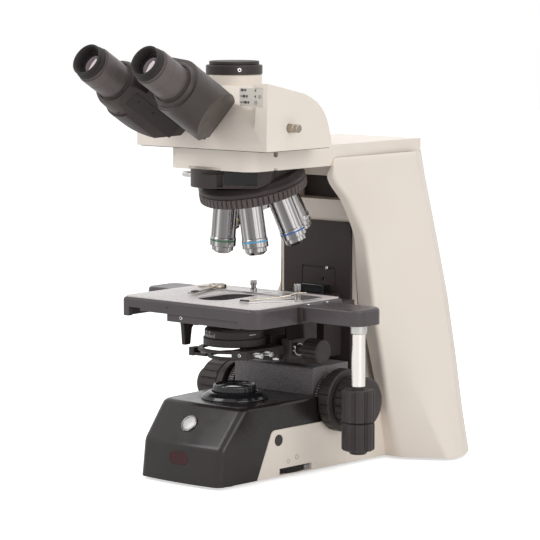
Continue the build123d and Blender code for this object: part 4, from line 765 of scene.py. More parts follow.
def label_icons():
    """Plain light-path signs on the upper right of the head: rod in, half out, out."""
    front = lambda z: head_front(z) + 0.33
    signs = []

    def mark(points, z):
        verts = [(x, front(z + dz), z + dz) for x, dz in points]
        back = [(x, y + 0.3, h) for x, y, h in verts]
        signs.append(rings([verts, back]))
    for row, z in enumerate((400.5, 394.5, 388.5)):
        x = 52.0
        mark([(x, -0.45), (x + 2.5 + 2.2 * row, -0.45), (x + 2.5 + 2.2 * row, 0.45), (x, 0.45)], z)
        end = x + 2.5 + 2.2 * row
        mark([(end + 2.2 * cos(a) * 0.9, 1.5 * sin(a)) for a in [2 * pi * i / 16 for i in range(16)]], z)
        mark([(end + 2.6, -1.2), (end + 5, -1.2), (end + 5, 1.2), (end + 2.6, 1.2)], z)
        if row < 2:
            mark([(70, 0), (73, 1.7), (72.3, 0), (73, -1.7)], z)
    for x, z in ((77.5, 394.5), (72.5, 388.5)):
        outer = [(x + 1.9 * cos(2 * pi * i / 20), 1.9 * sin(2 * pi * i / 20)) for i in range(20)]
        inner = [(x + 1.45 * cos(2 * pi * i / 20), 1.45 * sin(2 * pi * i / 20)) for i in range(20)]
        rows = []
        for outline, lift in ((outer, 0), (inner, 0), (inner, 0.3), (outer, 0.3)):
            rows.append([(px, front(z + dz) + lift, z + dz) for px, dz in outline])
        signs.append(rings(rows, closed=True))
        mark([(x - 0.5, -0.5), (x + 0.5, -0.5), (x + 0.5, 0.5), (x - 0.5, 0.5)], z)
    piece("path_signs", join(*signs), SIGN, "head")


def tube(side):
    near, far = (50.0, 68.0) if side > 0 else (68.6, 100.0)
    label = "right" if side > 0 else "left"
    body = f"tube_{label}"
    x = side * EYE_U
    outline = hull(circle(x, 0, 28.2, 96) + circle(0, PIVOT_V, 17, 64))
    web = prism(outline, -TUBE_END, -near)
    cone = moved(lathe([(28.5, -TUBE_END), (27.0, -73.4), (26.1, -73.2), (26.1, -72.6), (26.6, -72.4),
                        (26.6, -71.4), (26.1, -71.2), (26.1, -70.6), (26.4, -70.4), (25.0, -50.5),
                        (23.4, -46.6), (22.6, -46), (10, -46)], 96), at(x, 0, 0))
    flat_turn = turn("Z", 180 + CLOSING) if side > 0 else turn("Z", -CLOSING)
    flat = moved(block(22.5, 122.5, -100, 100, -300, 0), at(x, 0, 0) @ flat_turn)
    cuts = [flat,
            moved(disc(17.6, -near + 0.3, -30, 96), at(0, PIVOT_V, 0)),
            moved(disc(17.6, -160, -far - 0.3, 96), at(0, PIVOT_V, 0))]
    lean = degrees(atan2(-18.1 - 30.2, -22.5 + 2.3)) - 270
    slant = at(EYE_U, 0, -TUBE_END) @ turn("Z", lean) @ at(-13.8, 0, 0) @ turn("Y", 34)
    cuts.append(moved(moved(block(0, 200, -100, 100, -200, 200), slant), Matrix.Scale(side, 4, (1, 0, 0))))
    hub = moved(disc(17, -far, -near, 96), at(0, PIVOT_V, 0))
    inner = moved(disc(20.6, -60, -40, 96), at(x, 0, 0))
    piece(f"tube_housing_{label}", web, BLACK_TUBE, body, (f"eyepiece_tube_{label}",), place=EYE,
          bevel=1.0, rounds=3, adds=[cone, hub], cuts=cuts + [inner, moved(disc(6.3, -150, -30), at(0, PIVOT_V, 0))])
    screw(f"tube_set_screw_{label}", EYE @ at(x, 0, -64) @ turn("Z", -28 if side > 0 else -84) @ at(25.9, 0, 0) @ turn("Y", 90), 1.5, body,
          BLACK_SATIN)
    plate_place = EYE @ at(x, 0, 0) @ flat_turn @ at(22.5, 0, 0) @ turn("Y", 90)
    plate = [(z, y, 2.0) for z, y in ((58, -8), (131, -8), (131, 8), (58, 8))]
    shape = prism(rounded(plate), -0.6, 0.5)
    piece(f"tube_plate_{label}", shape, BLACK_SATIN, body, place=plate_place, bevel=0.25)
    for k, z in enumerate((68, 92)):
        screw(f"tube_plate_screw_{label}_{k}", plate_place @ at(z, 2, 0.5), 1.6, body, BLACK_SATIN)


def eyepiece(side):
    label = "right" if side > 0 else "left"
    body = f"tube_{label}"
    place = EYE @ at(side * EYE_U, 0, 0)
    barrel = [(15.1, -82), (15.1, -60), (20.2, -59.5), (20.2, -47.5), (19.4, -46.6), (17.6, -46.2), (17.6, -44.4),
              (19.0, -43.6), (19.2, -43.0), (19.2, -37.4), (18.9, -37.0), (18.9, -36.4), (19.2, -36.0), (19.2, -24.6),
              (18.9, -24.3), (18.9, -23.7), (19.2, -23.4), (19.2, -13.2), (18.8, -12.4), (17.2, -11.8), (17.2, -10.2),
              (18.1, -9.6), (18.1, -8.9), (12.4, -8.9), (12.2, -11.4), (0.01, -11.4)]
    piece(f"eyepiece_body_{label}", lathe(barrel, 128), EYE_BLACK, body, (f"eyepiece_{label}",),
          place=place)
    glass = [(11.9, -9.4)] + [(11.9 * cos(radians(a)), -9.4 + 2.6 * sin(radians(a))) for a in range(15, 90, 15)]
    piece(f"eye_lens_{label}", lathe([(11.9, -10.5)] + glass + [(0.01, -6.8)], 96), LENS, body, place=place)
    cone = [(12.1, -10.4), (12.1, -8.8), (12.6, -8.4), (12.9, -4.6), (14.1, -1.2), (14.9, -0.3), (15.8, 0),
            (16.5, -0.4), (16.8, -1.2), (16.9, -3.2), (16.5, -3.9), (16.5, -4.7), (17.2, -5.4), (17.9, -7.4), (17.9, -8.5),
            (12.8, -8.5)]
    piece(f"eyecup_rim_{label}", hollow(cone[2:], 128), RUBBER, f"dioptre_{label}", (f"eyecup_{label}",),
          place=place)
    holder = [(12.2, -10.6), (12.5, -8.9), (11.4, -8.9), (11.2, -10.6)]
    piece(f"lens_ring_{label}", hollow(holder, 96), BLACK_GLOSS, body, place=place)


# Nosepiece and objectives

FACET = turn("Z", 41.3)


def mount():
    """Block under the arm that carries the tilted turret; its facet turns to the front right."""
    body = lathe([(45, 299), (45, 317.4)], 128)
    rear = block(-42, 42, 0, 52, 299, 317.4)
    plane = moved(block(-200, 200, -200, 200, -300, -97.7), TURRET_PLACE)
    stud = moved(disc(11.9, -115.5, -90, 64), TURRET_PLACE)
    cuts = [plane, moved(block(-26, 60, -60, -38.5, 290, 330), FACET),
            moved(block(-18, -11.8, -60, -33, 300.5, 316), FACET),
            moved(block(-60, -10.6, -60, -30, 313.3, 330), FACET),
            block(-60, 21, -9.3, 9.3, 306.2, 310.8), moved(disc(4.3, 30, 60, 32), at(0, -5, 308.5) @ turn("Y", -90)),
            moved(disc(10, 309, 330, 64), at())]
    piece("nosepiece_block", body, BLACK_SATIN, "stand", ("nosepiece_mount",), adds=[rear], cuts=cuts,
          bevel=0.6, rounds=3, angle=40)
    piece("turret_stud", stud, STEEL, "stand")
    plate = rounded([(-9.6, 302.8, 1.2), (23.4, 302.8, 1.2), (23.4, 316.0, 1.2), (-9.6, 316.0, 1.2)], 4)
    shape = rings([[(x, y, z) for x, z in plate] for y in (-38.4, -39.9)])
    piece("block_cover", moved(shape, FACET), BLACK_GLOSS, "stand", bevel=0.35)
    lip = rings([[(x, y, z) for x, z in rounded([(11, 300.9, .5), (23.4, 300.9, .5), (23.4, 302.4, .5), (11, 302.4, .5)], 3)]
                 for y in (-38.4, -40.2)])
    piece("block_lip", moved(lip, FACET), BLACK_SATIN, "stand", bevel=0.2)


def slider():
    plate = block(-48, 20, -8.95, 8.95, 306.5, 310.5)
    holes = [moved(disc(6.5, 300, 320, 64), at(x, 0, 0)) for x in (0, -26)]
    piece("slider_plate", plate, STEEL, "slider", ("analyser_slider",), cuts=holes, bevel=0.3)
    rod = [(3, 47.5), (3, 57.6), (2.6, 58), (2.6, 58.6), (3, 59), (3, 65.4), (2.5, 66), (0.01, 66)]
    piece("slider_rod", lathe(rod, 48), STEEL, "slider", place=at(0, -5, 308.5) @ turn("Y", -90))


def ribbed(count, depth, share=0.3, low=-1e9, high=1e9):
    """Grip ribs: narrow grooves cut into a round; only between two heights."""
    def wave(a, r, z):
        if not low <= z <= high:
            return r
        step = (a * count / (2 * pi)) % 1.0
        if step > share:
            return r
        return r - depth * sin(pi * step / share)
    return wave


def turret():
    top = [(12.2, -98), (50.6, -98), (51.2, -98.3), (55.8, -102.8), (56, -103.4), (56, -106.6), (55.2, -107.4),
           (54.2, -107.6), (54.2, -110), (12.2, -110)]
    piece("turret_disc", hollow(top, 192), BLACK_SATIN, "nosepiece", ("turret",), place=TURRET_PLACE)
    grip = [(51.4, -107.9), (55.4, -107.9), (56.3, -108.8), (56.5, -109.6), (56.5, -115.9), (56.2, -116.8), (55.2, -117.5),
            (51.6, -117.5)]
    wave = ribbed(63, 1.7, 0.34, -116.9, -108.7)
    piece("turret_grip", hollow(grip, 63 * 12, wave), GRIP, "nosepiece", place=TURRET_PLACE)
    lift = tan(radians(15))
    seat_r, seat_d = 117.5 * sin(radians(15)), 117.5 * cos(radians(15))
    dish = [(12.2, -109.5), (51.8, -109.5), (51.8, -(seat_d - (51.8 - seat_r) * lift)), (seat_r, -seat_d),
            (12.2, -(seat_d + (seat_r - 12.2) * lift) + 3)]
    seats = []
    for angle in OBJECTIVE_ANGLES.values():
        seats.append(moved(disc(9.9, -150, -90, 64), turret_seat(angle)))
    piece("turret_dish", hollow(dish, 128), BLACK_SATIN, "nosepiece", place=TURRET_PLACE, cuts=seats)


OBJECTIVE_ANGLES = {"4x": 212, "10x": 272, "20x": -28, "40x": 32, "60x": 92, "100x": 152}
WORKING = {"4x": 28.0, "10x": 14.0, "20x": 2.1, "40x": 1.6, "60x": 1.4, "100x": 1.2}


def turret_seat(angle):
    return TURRET_PLACE @ turn("Z", angle) @ turn("X", -15)


def objective(power):
    place = turret_seat(OBJECTIVE_ANGLES[power])
    tip = 119.0 + 60.0 - WORKING[power]
    seat = 117.5
    length = tip - seat
    nose = min(7.6, length * 0.2)
    step = tip - nose
    ring = step - min(6.2, length * 0.12)
    waist = ring - min(3.0, length * 0.1)
    groove = seat + min(9.0, length * 0.25)
    profile = [(9.9, seat - 5), (9.9, seat + 0.02), (12.0, seat + 0.02), (12.6, seat + 0.5), (12.6, groove - 0.5),
               (12.25, groove - 0.2), (12.25, groove + 0.2), (12.6, groove + 0.5), (12.75, waist - 0.4), (13.1, waist),
               (13.45, waist + 0.6), (13.5, ring - 0.75), (13.2, ring - 0.7), (13.2, ring + 0.7), (13.5, ring + 0.75),
               (13.5, step - 0.6), (13.0, step), (11.3, step + 0.05), (11.2, step + 0.4), (11.2, tip - nose * 0.42),
               (10.8, tip - nose * 0.4), (10.5, tip - nose * 0.36), (7.6, tip - 0.5), (7.0, tip - 0.2), (4.4, tip - 0.2),
               (4.0, tip - 0.9), (0.01, tip - 0.9)]
    piece(f"barrel_{power}", lathe([(r, -d) for r, d in profile], 96), CHROME, "nosepiece",
          (f"objective_{power}",), place=place)
    band = [(12.9, ring - 0.7), (13.42, ring - 0.7), (13.46, ring), (13.42, ring + 0.7), (12.9, ring + 0.7)]
    piece(f"colour_ring_{power}", hollow([(r, -d) for r, d in band], 96), RING_LOOKS[power], "nosepiece",
          place=place)
    glass = [(3.95, tip - 1.2), (3.9, tip - 0.7), (2.6, tip - 0.45), (0.01, tip - 0.4)]
    piece(f"front_lens_{power}", lathe([(r, -d) for r, d in glass], 48), LENS, "nosepiece", place=place)


# Stage and condenser

APERTURE_Y = -12.0
CLIP_X = -50.0


def sweep(points, r, count=16):
    """A round rod along a line of points."""
    points = [Vector(p) for p in points]
    rows = []
    side = Vector((0, 0, 1))
    for i, here in enumerate(points):
        along = (points[min(i + 1, len(points) - 1)] - points[max(i - 1, 0)]).normalized()
        side = (side - along * side.dot(along)).normalized()
        other = along.cross(side)
        rows.append([here + side * r * cos(2 * pi * k / count) + other * r * sin(2 * pi * k / count)
                     for k in range(count)])
    return rings(rows)


def slab(corners, low, high, edge=0.0, steps=5, draw=0.0):
    """A plate with rounded corners and, with edge, a rounded upper edge."""
    levels = [(low, 0.0), (high - edge, 0.0)]
    levels += [(high - edge + edge * sin(radians(90 * k / steps)), edge * (1 - cos(radians(90 * k / steps))))
               for k in range(1, steps + 1)] if edge else []
    xs, ys = [c[0] for c in corners], [c[1] for c in corners]
    mid_x, mid_y = (min(xs) + max(xs)) / 2, (min(ys) + max(ys)) / 2
    rows = []
    for z, inset in levels:
        moved_in = [(x + (inset if x < mid_x else -inset), y + (inset if y < mid_y else -inset), max(0.6, r - inset))
                    for x, y, r in corners]
        rows.append([(x, y, z) for x, y in rounded(moved_in, 8)])
    return rings(rows)


def long_hole(r, length, low, high, y=APERTURE_Y):
    half = length / 2 - r
    arc = [radians(180 * k / 24) for k in range(25)]
    outline = [(r * cos(a), y + half + r * sin(a)) for a in arc] + [(-r * cos(a), y - half - r * sin(a)) for a in arc]
    return prism(outline, low, high)


def stage_top():
    deck = slab([(-92, -72.5, 5), (92, -72.5, 13), (92, 64, 2), (-92, 64, 2)], 164.5, 184, 3.2)
    left = slab([(-134, 6, 12), (-90, 6, 0.7), (-90, 54, 0.7), (-134, 54, 12)], 167.3, 184, 3.2)
    right = slab([(90, -5, 0.7), (168, -5, 12), (168, 36, 12), (90, 36, 0.7)], 167.3, 184, 3.2)
    cuts = [block(-86, 86, -66.5, 70, 150, 177.5), block(-67, 67, -80, -60, 150, 171),
            block(-82, -66, -80, -60, 150, 174), long_hole(21, 74, 150, 190),
            block(96, 164, -1, 32, 170.3, 177.5), moved(disc(6, 160, 172, 48), at(150, 17, 0)),
            block(90.9, 92.4, -30, -5.6, 165, 190)]
    piece("stage_shell", deck, STAGE_BLACK, "stage", ("stage_body",), adds=[left, right],
          cuts=cuts[:-1], bevel=0.45, rounds=2, angle=40)
    plate = slab([(-89, -69.5, 3), (89, -69.5, 10), (89, 61, 1), (-89, 61, 1)], 184.02, 185.6, 0.35, 2)
    piece("stage_plate", plate, STAGE_PLATE, "stage", ("stage_surface",), cuts=[long_hole(19.5, 71, 180, 190)])
    bracket = [block(91.6, 93.4, -9, 1.5, 165.2, 181.5), block(91.6, 98.5, -9, -7.4, 165.2, 181.5)]
    piece("wing_bracket", join(*bracket[:1]), BLACK_SATIN, "stage", adds=bracket[1:], bevel=0.3)
    for k, (x, y) in enumerate(((97.5, 1.5), (98.5, 30))):
        screw(f"wing_screw_{k}", at(x, y, 184.0), 1.9, "stage")
    screw("skirt_screw", at(-28, -72.4, 177.5) @ turn("X", 90), 1.0, "stage", BLACK_SATIN)
    apron = slab([(-30, -70.6, 0.6), (66.9, -70.6, 0.6), (66.9, -64, 0.6), (-30, -64, 0.6)], 163.3, 177.7)
    piece("stage_apron", apron, STAGE_BLACK, "stage", bevel=0.4)
    screw("front_screw", at(-10.5, -70.7, 168.2) @ turn("X", 90), 2.1, "stage")
    strips = join(block(97, 124, -0.5, 8, 166.4, 167.4), block(100, 121, 20, 27, 166.4, 167.4))
    piece("wing_clamp", strips, STEEL, "stage", bevel=0.25)
    for k, x in enumerate((104, 116)):
        screw(f"clamp_screw_{k}", at(x, 3.5, 166.3) @ turn("X", 180), 1.7, "stage", BLACK_SATIN)


def knob_column():
    collar = [(4.1, 157.3), (7.4, 157.3), (8.4, 158.2), (8.6, 159), (8.6, 166.4), (8.2, 167.2), (4.1, 167.2)]
    piece("pillar_collar", hollow(collar, 96), STEEL, "stage", place=at(150, 17, 0))
    tube = [(4.1, 104), (6.6, 104), (7, 104.5), (7, 158), (4.1, 158)]
    piece("pillar_tube", hollow(tube, 96), PILLAR_STEEL, "stage", ("xy_pillar",), place=at(150, 17, 0))

    def fluted(profile, name, body, nodes, turn_by=0.0):
        def wave(a, r, z):
            if r < 15 or not profile[1][1] <= z <= profile[-2][1]:
                return r
            flute = abs(((a + turn_by) * 8 / (2 * pi)) % 1.0 - 0.5) * 2
            deep = 1.9 * max(0.0, 1 - (flute / 0.34) ** 2)
            fine = 0.28 if int(((a + turn_by) * 48 / (2 * pi)) % 2) else 0.0
            return r - deep - (fine if deep == 0 else 0)
        piece(name, hollow(profile, 384, wave), BLACK_PLASTIC, body, nodes, place=at(150, 17, 0))
    upper = [(4.15, 68.3), (15.6, 68.3), (16.7, 69.3), (16.7, 99.2), (15.6, 101), (6.2, 101), (6.0, 103.7), (4.15, 103.7)]
    fluted(upper[:1] + upper[1:], "x_knob_grip", "x_drive", ("x_knob",))
    lower = [(4.0, 39.5), (15.2, 39.5), (16.7, 41), (16.7, 66.6), (15.6, 67.7), (4.0, 67.7)]
    fluted(lower, "y_knob_grip", "y_drive", ("y_knob",))
    tip = [(0.01, 35.5), (7.6, 35.5), (8.8, 36.3), (9, 37.3), (9, 40), (0.01, 40)]
    piece("y_knob_foot", lathe(tip, 64), BLACK_PLASTIC, "y_drive", place=at(150, 17, 0))
    piece("y_knob_shaft", disc(3.95, 40, 170, 48), STEEL, "y_drive", place=at(150, 17, 0))


def knurled_post(name, x, y, h):
    z = 187.3
    wave = ribbed(28, 0.22, 0.6, z + h * 0.56, z + h - 0.4)
    profile = [(3.3, z), (3.4, z + 0.3), (3.4, z + h * 0.3), (2.6, z + h * 0.33), (2.55, z + h * 0.52),
               (3.2, z + h * 0.55), (3.4, z + h * 0.58), (3.4, z + h * 0.7), (3.4, z + h - 0.5), (3.0, z + h), (0.01, z + h)]
    piece(name, lathe(profile, 28 * 8, wave), CHROME, "holder", place=at(x, y, 0))
    ring = [(3.0, z + h * 0.78), (3.5, z + h * 0.78), (3.5, z + h * 0.86), (3.0, z + h * 0.86)]
    piece(name + "_slot", block(-0.35, 0.35, -3.45, -3.1, z + h * 0.42, z + h * 0.62), BLACK_PLASTIC, "holder",
          place=at(x, y, 0) @ turn("Z", 41))


def holder():
    bar = rounded([(-68, 22, 2), (88, 22, 2), (88, 38, 4), (-68, 38, 6)], 6)
    ear = rounded([(71.6, 1, 4), (88, 1, 4), (88, 24, 1), (71.6, 24, 1)], 6)
    arm = rounded([(75, 8, 1.5), (81, 3, 1.5), (55, -41, 1), (43.5, -43.5, 1), (43, -39.5, 1), (51, -37, 1.5)], 4)
    low, high = 185.9, 187.3
    plate = prism(bar, low, high)
    piece("holder_plate", plate, STEEL_SATIN, "holder", ("slide_holder",), adds=[prism(ear, low, high),
          prism(arm, low, high)], cuts=[long_slot(20, 11.2)], bevel=0.2)
    knurled_post("holder_post_a", 0, 30, 11.5)
    knurled_post("holder_post_b", 78.6, 7, 16)
    rod = [(53, -38, 188.3), (60, -25.5, 188.9), (68, -10.5, 190), (73.5, -0.5, 191.2), (75.0, 2.0, 192.2),
           (77.0, 3.2, 193.2), (81.2, 4.4, 193.9), (90, 7.4, 194.8)]
    piece("holder_spring", sweep(rod, 0.85), BRASS, "holder")
    tip = slab([(-4.6, -1.6, 1), (5.4, -1.6, 1), (5.4, 1.6, 1), (-4.6, 1.6, 1)], 187.25, 188.7, 0.3, 2)
    piece("holder_tip", tip, BLACK_PLASTIC, "holder", place=at(48, -39.8, 0) @ turn("Z", 16))
    pin = [(2.9, 186.5), (2.9, 190.2), (2.3, 190.7), (0.01, 190.7)]
    piece("clip_pin", lathe(pin, 48), STEEL, "holder", place=at(CLIP_X, 30, 0))


def long_slot(x, y):
    return moved(slab([(-6, -1.1, 1), (6, -1.1, 1), (6, 1.1, 1), (-6, 1.1, 1)], 180, 190), at(x, y + 18, 0))


def clip():
    ring = [(3.15, 187.6), (9.2, 187.6), (9.5, 187.9), (9.5, 189.6), (8.9, 190.6), (7.4, 190.9), (6.0, 190.2),
            (5.2, 188.9), (3.15, 188.8)]
    piece("clip_disc", hollow(ring, 96), ROD_STEEL, "clip", place=at(CLIP_X, 30, 0))
    arm = rounded([(-5, -4, 1), (3, -5, 1), (12.5, -38, 2), (20, -60, 1.2), (14, -63, 1.2), (6.6, -40, 2)], 5)
    tail = rounded([(-4, -2, 1), (-15, -14, 1), (-13, -16.5, 1), (-1, -5, 1)], 4)
    piece("clip_lever", prism(arm, 187.6, 188.8), ROD_STEEL, "clip", ("slide_clip",), adds=[prism(tail, 187.6, 188.8)],
          cuts=[disc(3.15, 180, 195)], place=at(CLIP_X, 30, 0), bevel=0.25)
    pad = slab([(-2.6, -5, 1), (2.6, -5, 1), (2.6, 5, 1), (-2.6, 5, 1)], 188.7, 189.8, 0.3, 2)
    piece("clip_pad", pad, BLACK_PLASTIC, "clip", place=at(CLIP_X + 14.5, -22, 0) @ turn("Z", 18))


def carrier():
    plate = slab([(-76, -34, 3), (76, -34, 3), (76, 105, 3), (-76, 105, 3)], 168.2, 177.2)
    back = block(-34, 34, 104, 133, 112, 177.2)
    guide = slab([(-26, 52, 1.5), (50, 52, 1.5), (50, 74, 1.5), (-26, 74, 1.5)], 113, 169)
    ear = slab([(36, 31, 3), (50, 31, 3), (50, 53, 1), (36, 53, 1)], 120, 140)
    web = block(-14, 14, 73, 105, 122, 169.2)
    cuts = [long_hole(33, 98, 160, 180), block(-18.1, 18.1, 121.2, 140, 100, 180),
            moved(disc(4.1, 0, 80, 48), at(0, 40, 130) @ turn("Y", 90)),
            block(-19, -16.6, 51, 53.4, 112, 170), block(24.5, 26.5, 51, 53.4, 112, 170)]
    piece("carrier_frame", plate, BLACK_SATIN, "carrier", ("stage_carrier",),
          adds=[back, guide, ear, web], cuts=cuts, bevel=0.8, rounds=2, angle=40)
    for k, (y, z) in enumerate(((57, 161), (57, 119), (69, 161), (69, 119))):
        screw(f"guide_screw_{k}", at(50.1, y, z) @ turn("Y", 90), 1.5, "carrier")
    for k, z in enumerate((158, 136)):
        screw(f"guide_front_screw_{k}", at(38, 51.9, z) @ turn("X", 90), 1.4, "carrier")


def height_knob():
    knob = [(4, 66), (11.6, 66), (12.6, 66.8), (13, 68), (13, 83.4), (12.2, 85.2), (10.8, 85.8), (9.9, 86), (9.7, 85.7),
            (0.01, 85.7)]
    wave = ribbed(16, 1.1, 0.3, 67.5, 84)
    piece("height_grip", lathe(knob, 16 * 20, wave), BLACK_PLASTIC, "condenser_drive",
          ("condenser_knob",), place=at(0, 40, 130) @ turn("Y", 90))
    ring = [(5.6, 50.4), (6.6, 50.4), (7, 50.8), (7, 53.6), (6.6, 54), (5.6, 54)]
    piece("height_ring", hollow(ring, 96), CHROME, "condenser_drive", place=at(0, 40, 130) @ turn("Y", 90))
    shaft = [(5.7, 50.6), (5.7, 53.2), (4, 53.4), (4, 58), (5, 58.4), (5, 66.2), (0.01, 66.2)]
    piece("height_shaft", lathe([(0.01, 38), (3.95, 38), (3.95, 50.6)] + shaft, 64), BLACK_SATIN, "condenser_drive",
          place=at(0, 40, 130) @ turn("Y", 90))


def condenser():
    ring = [(33.4, 129.4), (37.6, 129.4), (38, 129.8), (38, 132.0), (37.6, 132.5), (33.4, 132.5)]
    arm = slab([(22, -32, 3), (42, -32, 3), (42, 31, 1), (22, 31, 1)], 125, 134)
    bridge = slab([(-20, 17, 1), (30, 17, 1), (30, 31, 1), (-20, 31, 1)], 129.8, 134.7)
    slide = slab([(-20, 30, 1), (24, 30, 1), (24, 51.9, 1), (-20, 51.9, 1)], 116, 142)
    holes = [moved(disc(1.65, 0, 100, 32), at(0, y, 129.5) @ turn("Y", 90)) for y in (-20, -4)]
    piece("condenser_ring", hollow(ring, 128), BLACK_SATIN, "condenser", ("condenser_carrier",),
          adds=[arm, slide, bridge], cuts=[disc(20.5, 100, 200, 128), disc(32.9, 134.7, 200, 128)] + holes, bevel=0.4,
          rounds=2)
    top = [(15, 143.5), (31, 143.5), (31, 150.8), (30.4, 151.7), (29.4, 152), (24, 152), (23.4, 151.4), (22.6, 151.4),
           (22, 152), (15, 152)]
    piece("condenser_rim", hollow(top, 160), BLACK_SATIN, "condenser", ("condenser_body",))
    barrel = [(20, 134.6), (26, 134.6), (26, 143.6), (15.1, 143.6), (15.1, 142.6), (20, 142.6)]
    piece("condenser_barrel", hollow(barrel, 96), BLACK_SATIN, "condenser")
    cradle = block(-27, -19, -13, -3, 151, 160.3)
    piece("lever_cradle", cradle, BLACK_SATIN, "condenser", bevel=0.6,
          cuts=[moved(disc(3.15, -60, 0, 48), at(0, -8, 155.3) @ turn("Y", 90))])
    ticks = []
    for k in range(-16, 9):
        long = 4.4 if k % 4 == 0 else 2.6
        ticks.append(moved(block(31.0, 31.15, -0.25, 0.25, 144.2, 144.2 + long), turn("Z", 290 + 3.4 * k - 48)))
    for k in (-12, -8, -4, 0, 4):
        ticks.append(moved(block(31.0, 31.15, -0.8, 0.8, 149.4, 150.4), turn("Z", 290 + 3.4 * k - 48)))
    ticks.append(moved(block(31.0, 31.15, -4, 4, 147.4, 148.2), turn("Z", -12)))
    piece("aperture_ticks", join(*ticks), WHITE_PRINT, "condenser")
    glass = [(0.01, 135.2), (19.8, 135.2), (19.8, 138), (12, 141.4), (0.01, 141.4)]
    piece("condenser_glass", lathe(glass, 64), LENS, "condenser", ("condenser_lens",))
    knurl = [(26.15, 135), (31.6, 135), (32.5, 135.8), (32.5, 142.4), (32, 143.2), (26.15, 143.2)]
    piece("iris_grip", hollow(knurl, 96 * 6, ribbed(96, 0.7, 0.45, 135.9, 142.2)), BLACK_PLASTIC, "iris",
          ("condenser_iris_ring",))
    mark = moved(block(32.4, 32.7, -0.5, 0.5, 136, 142), turn("Z", 232))
    piece("iris_mark", mark, WHITE_PRINT, "iris")
    for k, y in enumerate((-20, -4)):
        rod = [(1.6, 27), (1.6, 42.4), (2.2, 42.5), (2.2, 46), (3.2, 46.6), (3.2, 53.2), (2.6, 54), (1.7, 54), (1.6, 53),
               (0.01, 53)]
        wave = ribbed(20, 0.25, 0.5, 46.7, 53.1)
        piece(f"centring_screw_{k}", lathe(rod, 20 * 8, wave), STEEL, "condenser",
              ("centring_screws",) if k == 0 else (), place=at(0, y, 129.5) @ turn("Y", 90))
    screw("pivot_block_screw", at(34.5, -32, 129.5) @ turn("X", 90), 2.1, "condenser")


def swing_lens():
    lens = [(0.01, 152.4), (13, 152.4), (13.5, 152.9), (13.5, 157.6), (12.6, 158.8), (9.6, 160), (8.9, 159.9), (8.6, 159.2),
            (0.01, 159.6)]
    piece("top_lens_mount", lathe(lens, 96), BLACK_SATIN, "top_lens", ("swing_lens",))
    piece("top_lens_glass", lathe([(8.5, 159), (8.3, 159.5), (6, 159.9), (0.01, 160)], 64), LENS, "top_lens")
    shaft = [(3, 9.6), (3, 28), (3.0, 34), (2.6, 34.2), (2.6, 35), (3, 35.2), (3, 46), (3, 56.4), (0.01, 56.4)]
    piece("lever_shaft", lathe([(0.01, 9.6)] + shaft, 48), BLACK_SATIN, "top_lens",
          place=at(0, -8, 155.3) @ turn("Y", -90))
    collar = [(3, 44), (4.2, 44), (4.2, 49.6), (3.6, 50), (3.6, 55.8), (3, 55.8)]
    piece("lever_collar", hollow(collar, 48), BLACK_PLASTIC, "top_lens",
          place=at(0, -8, 155.3) @ turn("Y", -90))
    side = rounded([(-17, 158.6, 1.5), (-17, 153, 1), (-16, 147, 2), (-14.5, 130, 1), (-6, 130, 1), (-3.4, 147, 4),
                    (-1, 149.5, 1), (-1, 158.6, 1.5)], 4)
    grip = side_on(side, -61, -56)
    piece("lever_grip", grip, BLACK_PLASTIC, "top_lens", bevel=0.7, rounds=3)


def filter_ring():
    ring = [(24.4, 121.6), (27.4, 121.6), (28, 122.1), (28, 124.2), (27.6, 124.7), (24.8, 124.7), (24.4, 124.3)]
    tab = slab([(-46, -19, 1.5), (-23, -19, 1), (-24, -9, 1), (-46, -9, 1.5)], 121.6, 124.7)
    ear = prism(hull(circle(34, 26, 5, 24) + [(12, 23), (23, 12)]), 121.6, 124.7)
    piece("filter_frame", hollow(ring, 128), BLACK_SATIN, "filter", ("filter_holder",), adds=[tab, ear],
          cuts=[disc(24.4, 110, 130, 96)], bevel=0.3)
    grip = slab([(-46.4, -20, 1), (-39.5, -20, 1), (-39.5, -8, 1), (-46.4, -8, 1)], 121.0, 129.6)
    piece("filter_tab", grip, BLACK_PLASTIC, "filter", bevel=0.4)
    pin = [(0.01, 118.9), (3.4, 118.9), (3.4, 120.6), (1.9, 120.7), (1.9, 129), (0.01, 129)]
    piece("filter_pin", lathe(pin, 32), STEEL, "filter", place=at(34, 26, 0))


# Focus drive

def on_axle(side):
    return at(0, 88, 73) @ turn("Y", 90 * side)


def focus_block():
    side_view = rounded([(62, 56, 0), (62, 108, 3), (120, 108, 0), (120, 95.6, 0), (136.9, 95.6, 0), (136.9, 56, 0)], 6)
    bores = [moved(disc(8.1, -300, 300, 64), on_axle(1))]
    piece("focus_case", side_on(side_view, -54, 54), GREY_TEXTURE, "stand", ("focus_housing",),
          adds=[moved(disc(12, -64, 64, 96), on_axle(1))], cuts=bores, bevel=0.8, rounds=3)


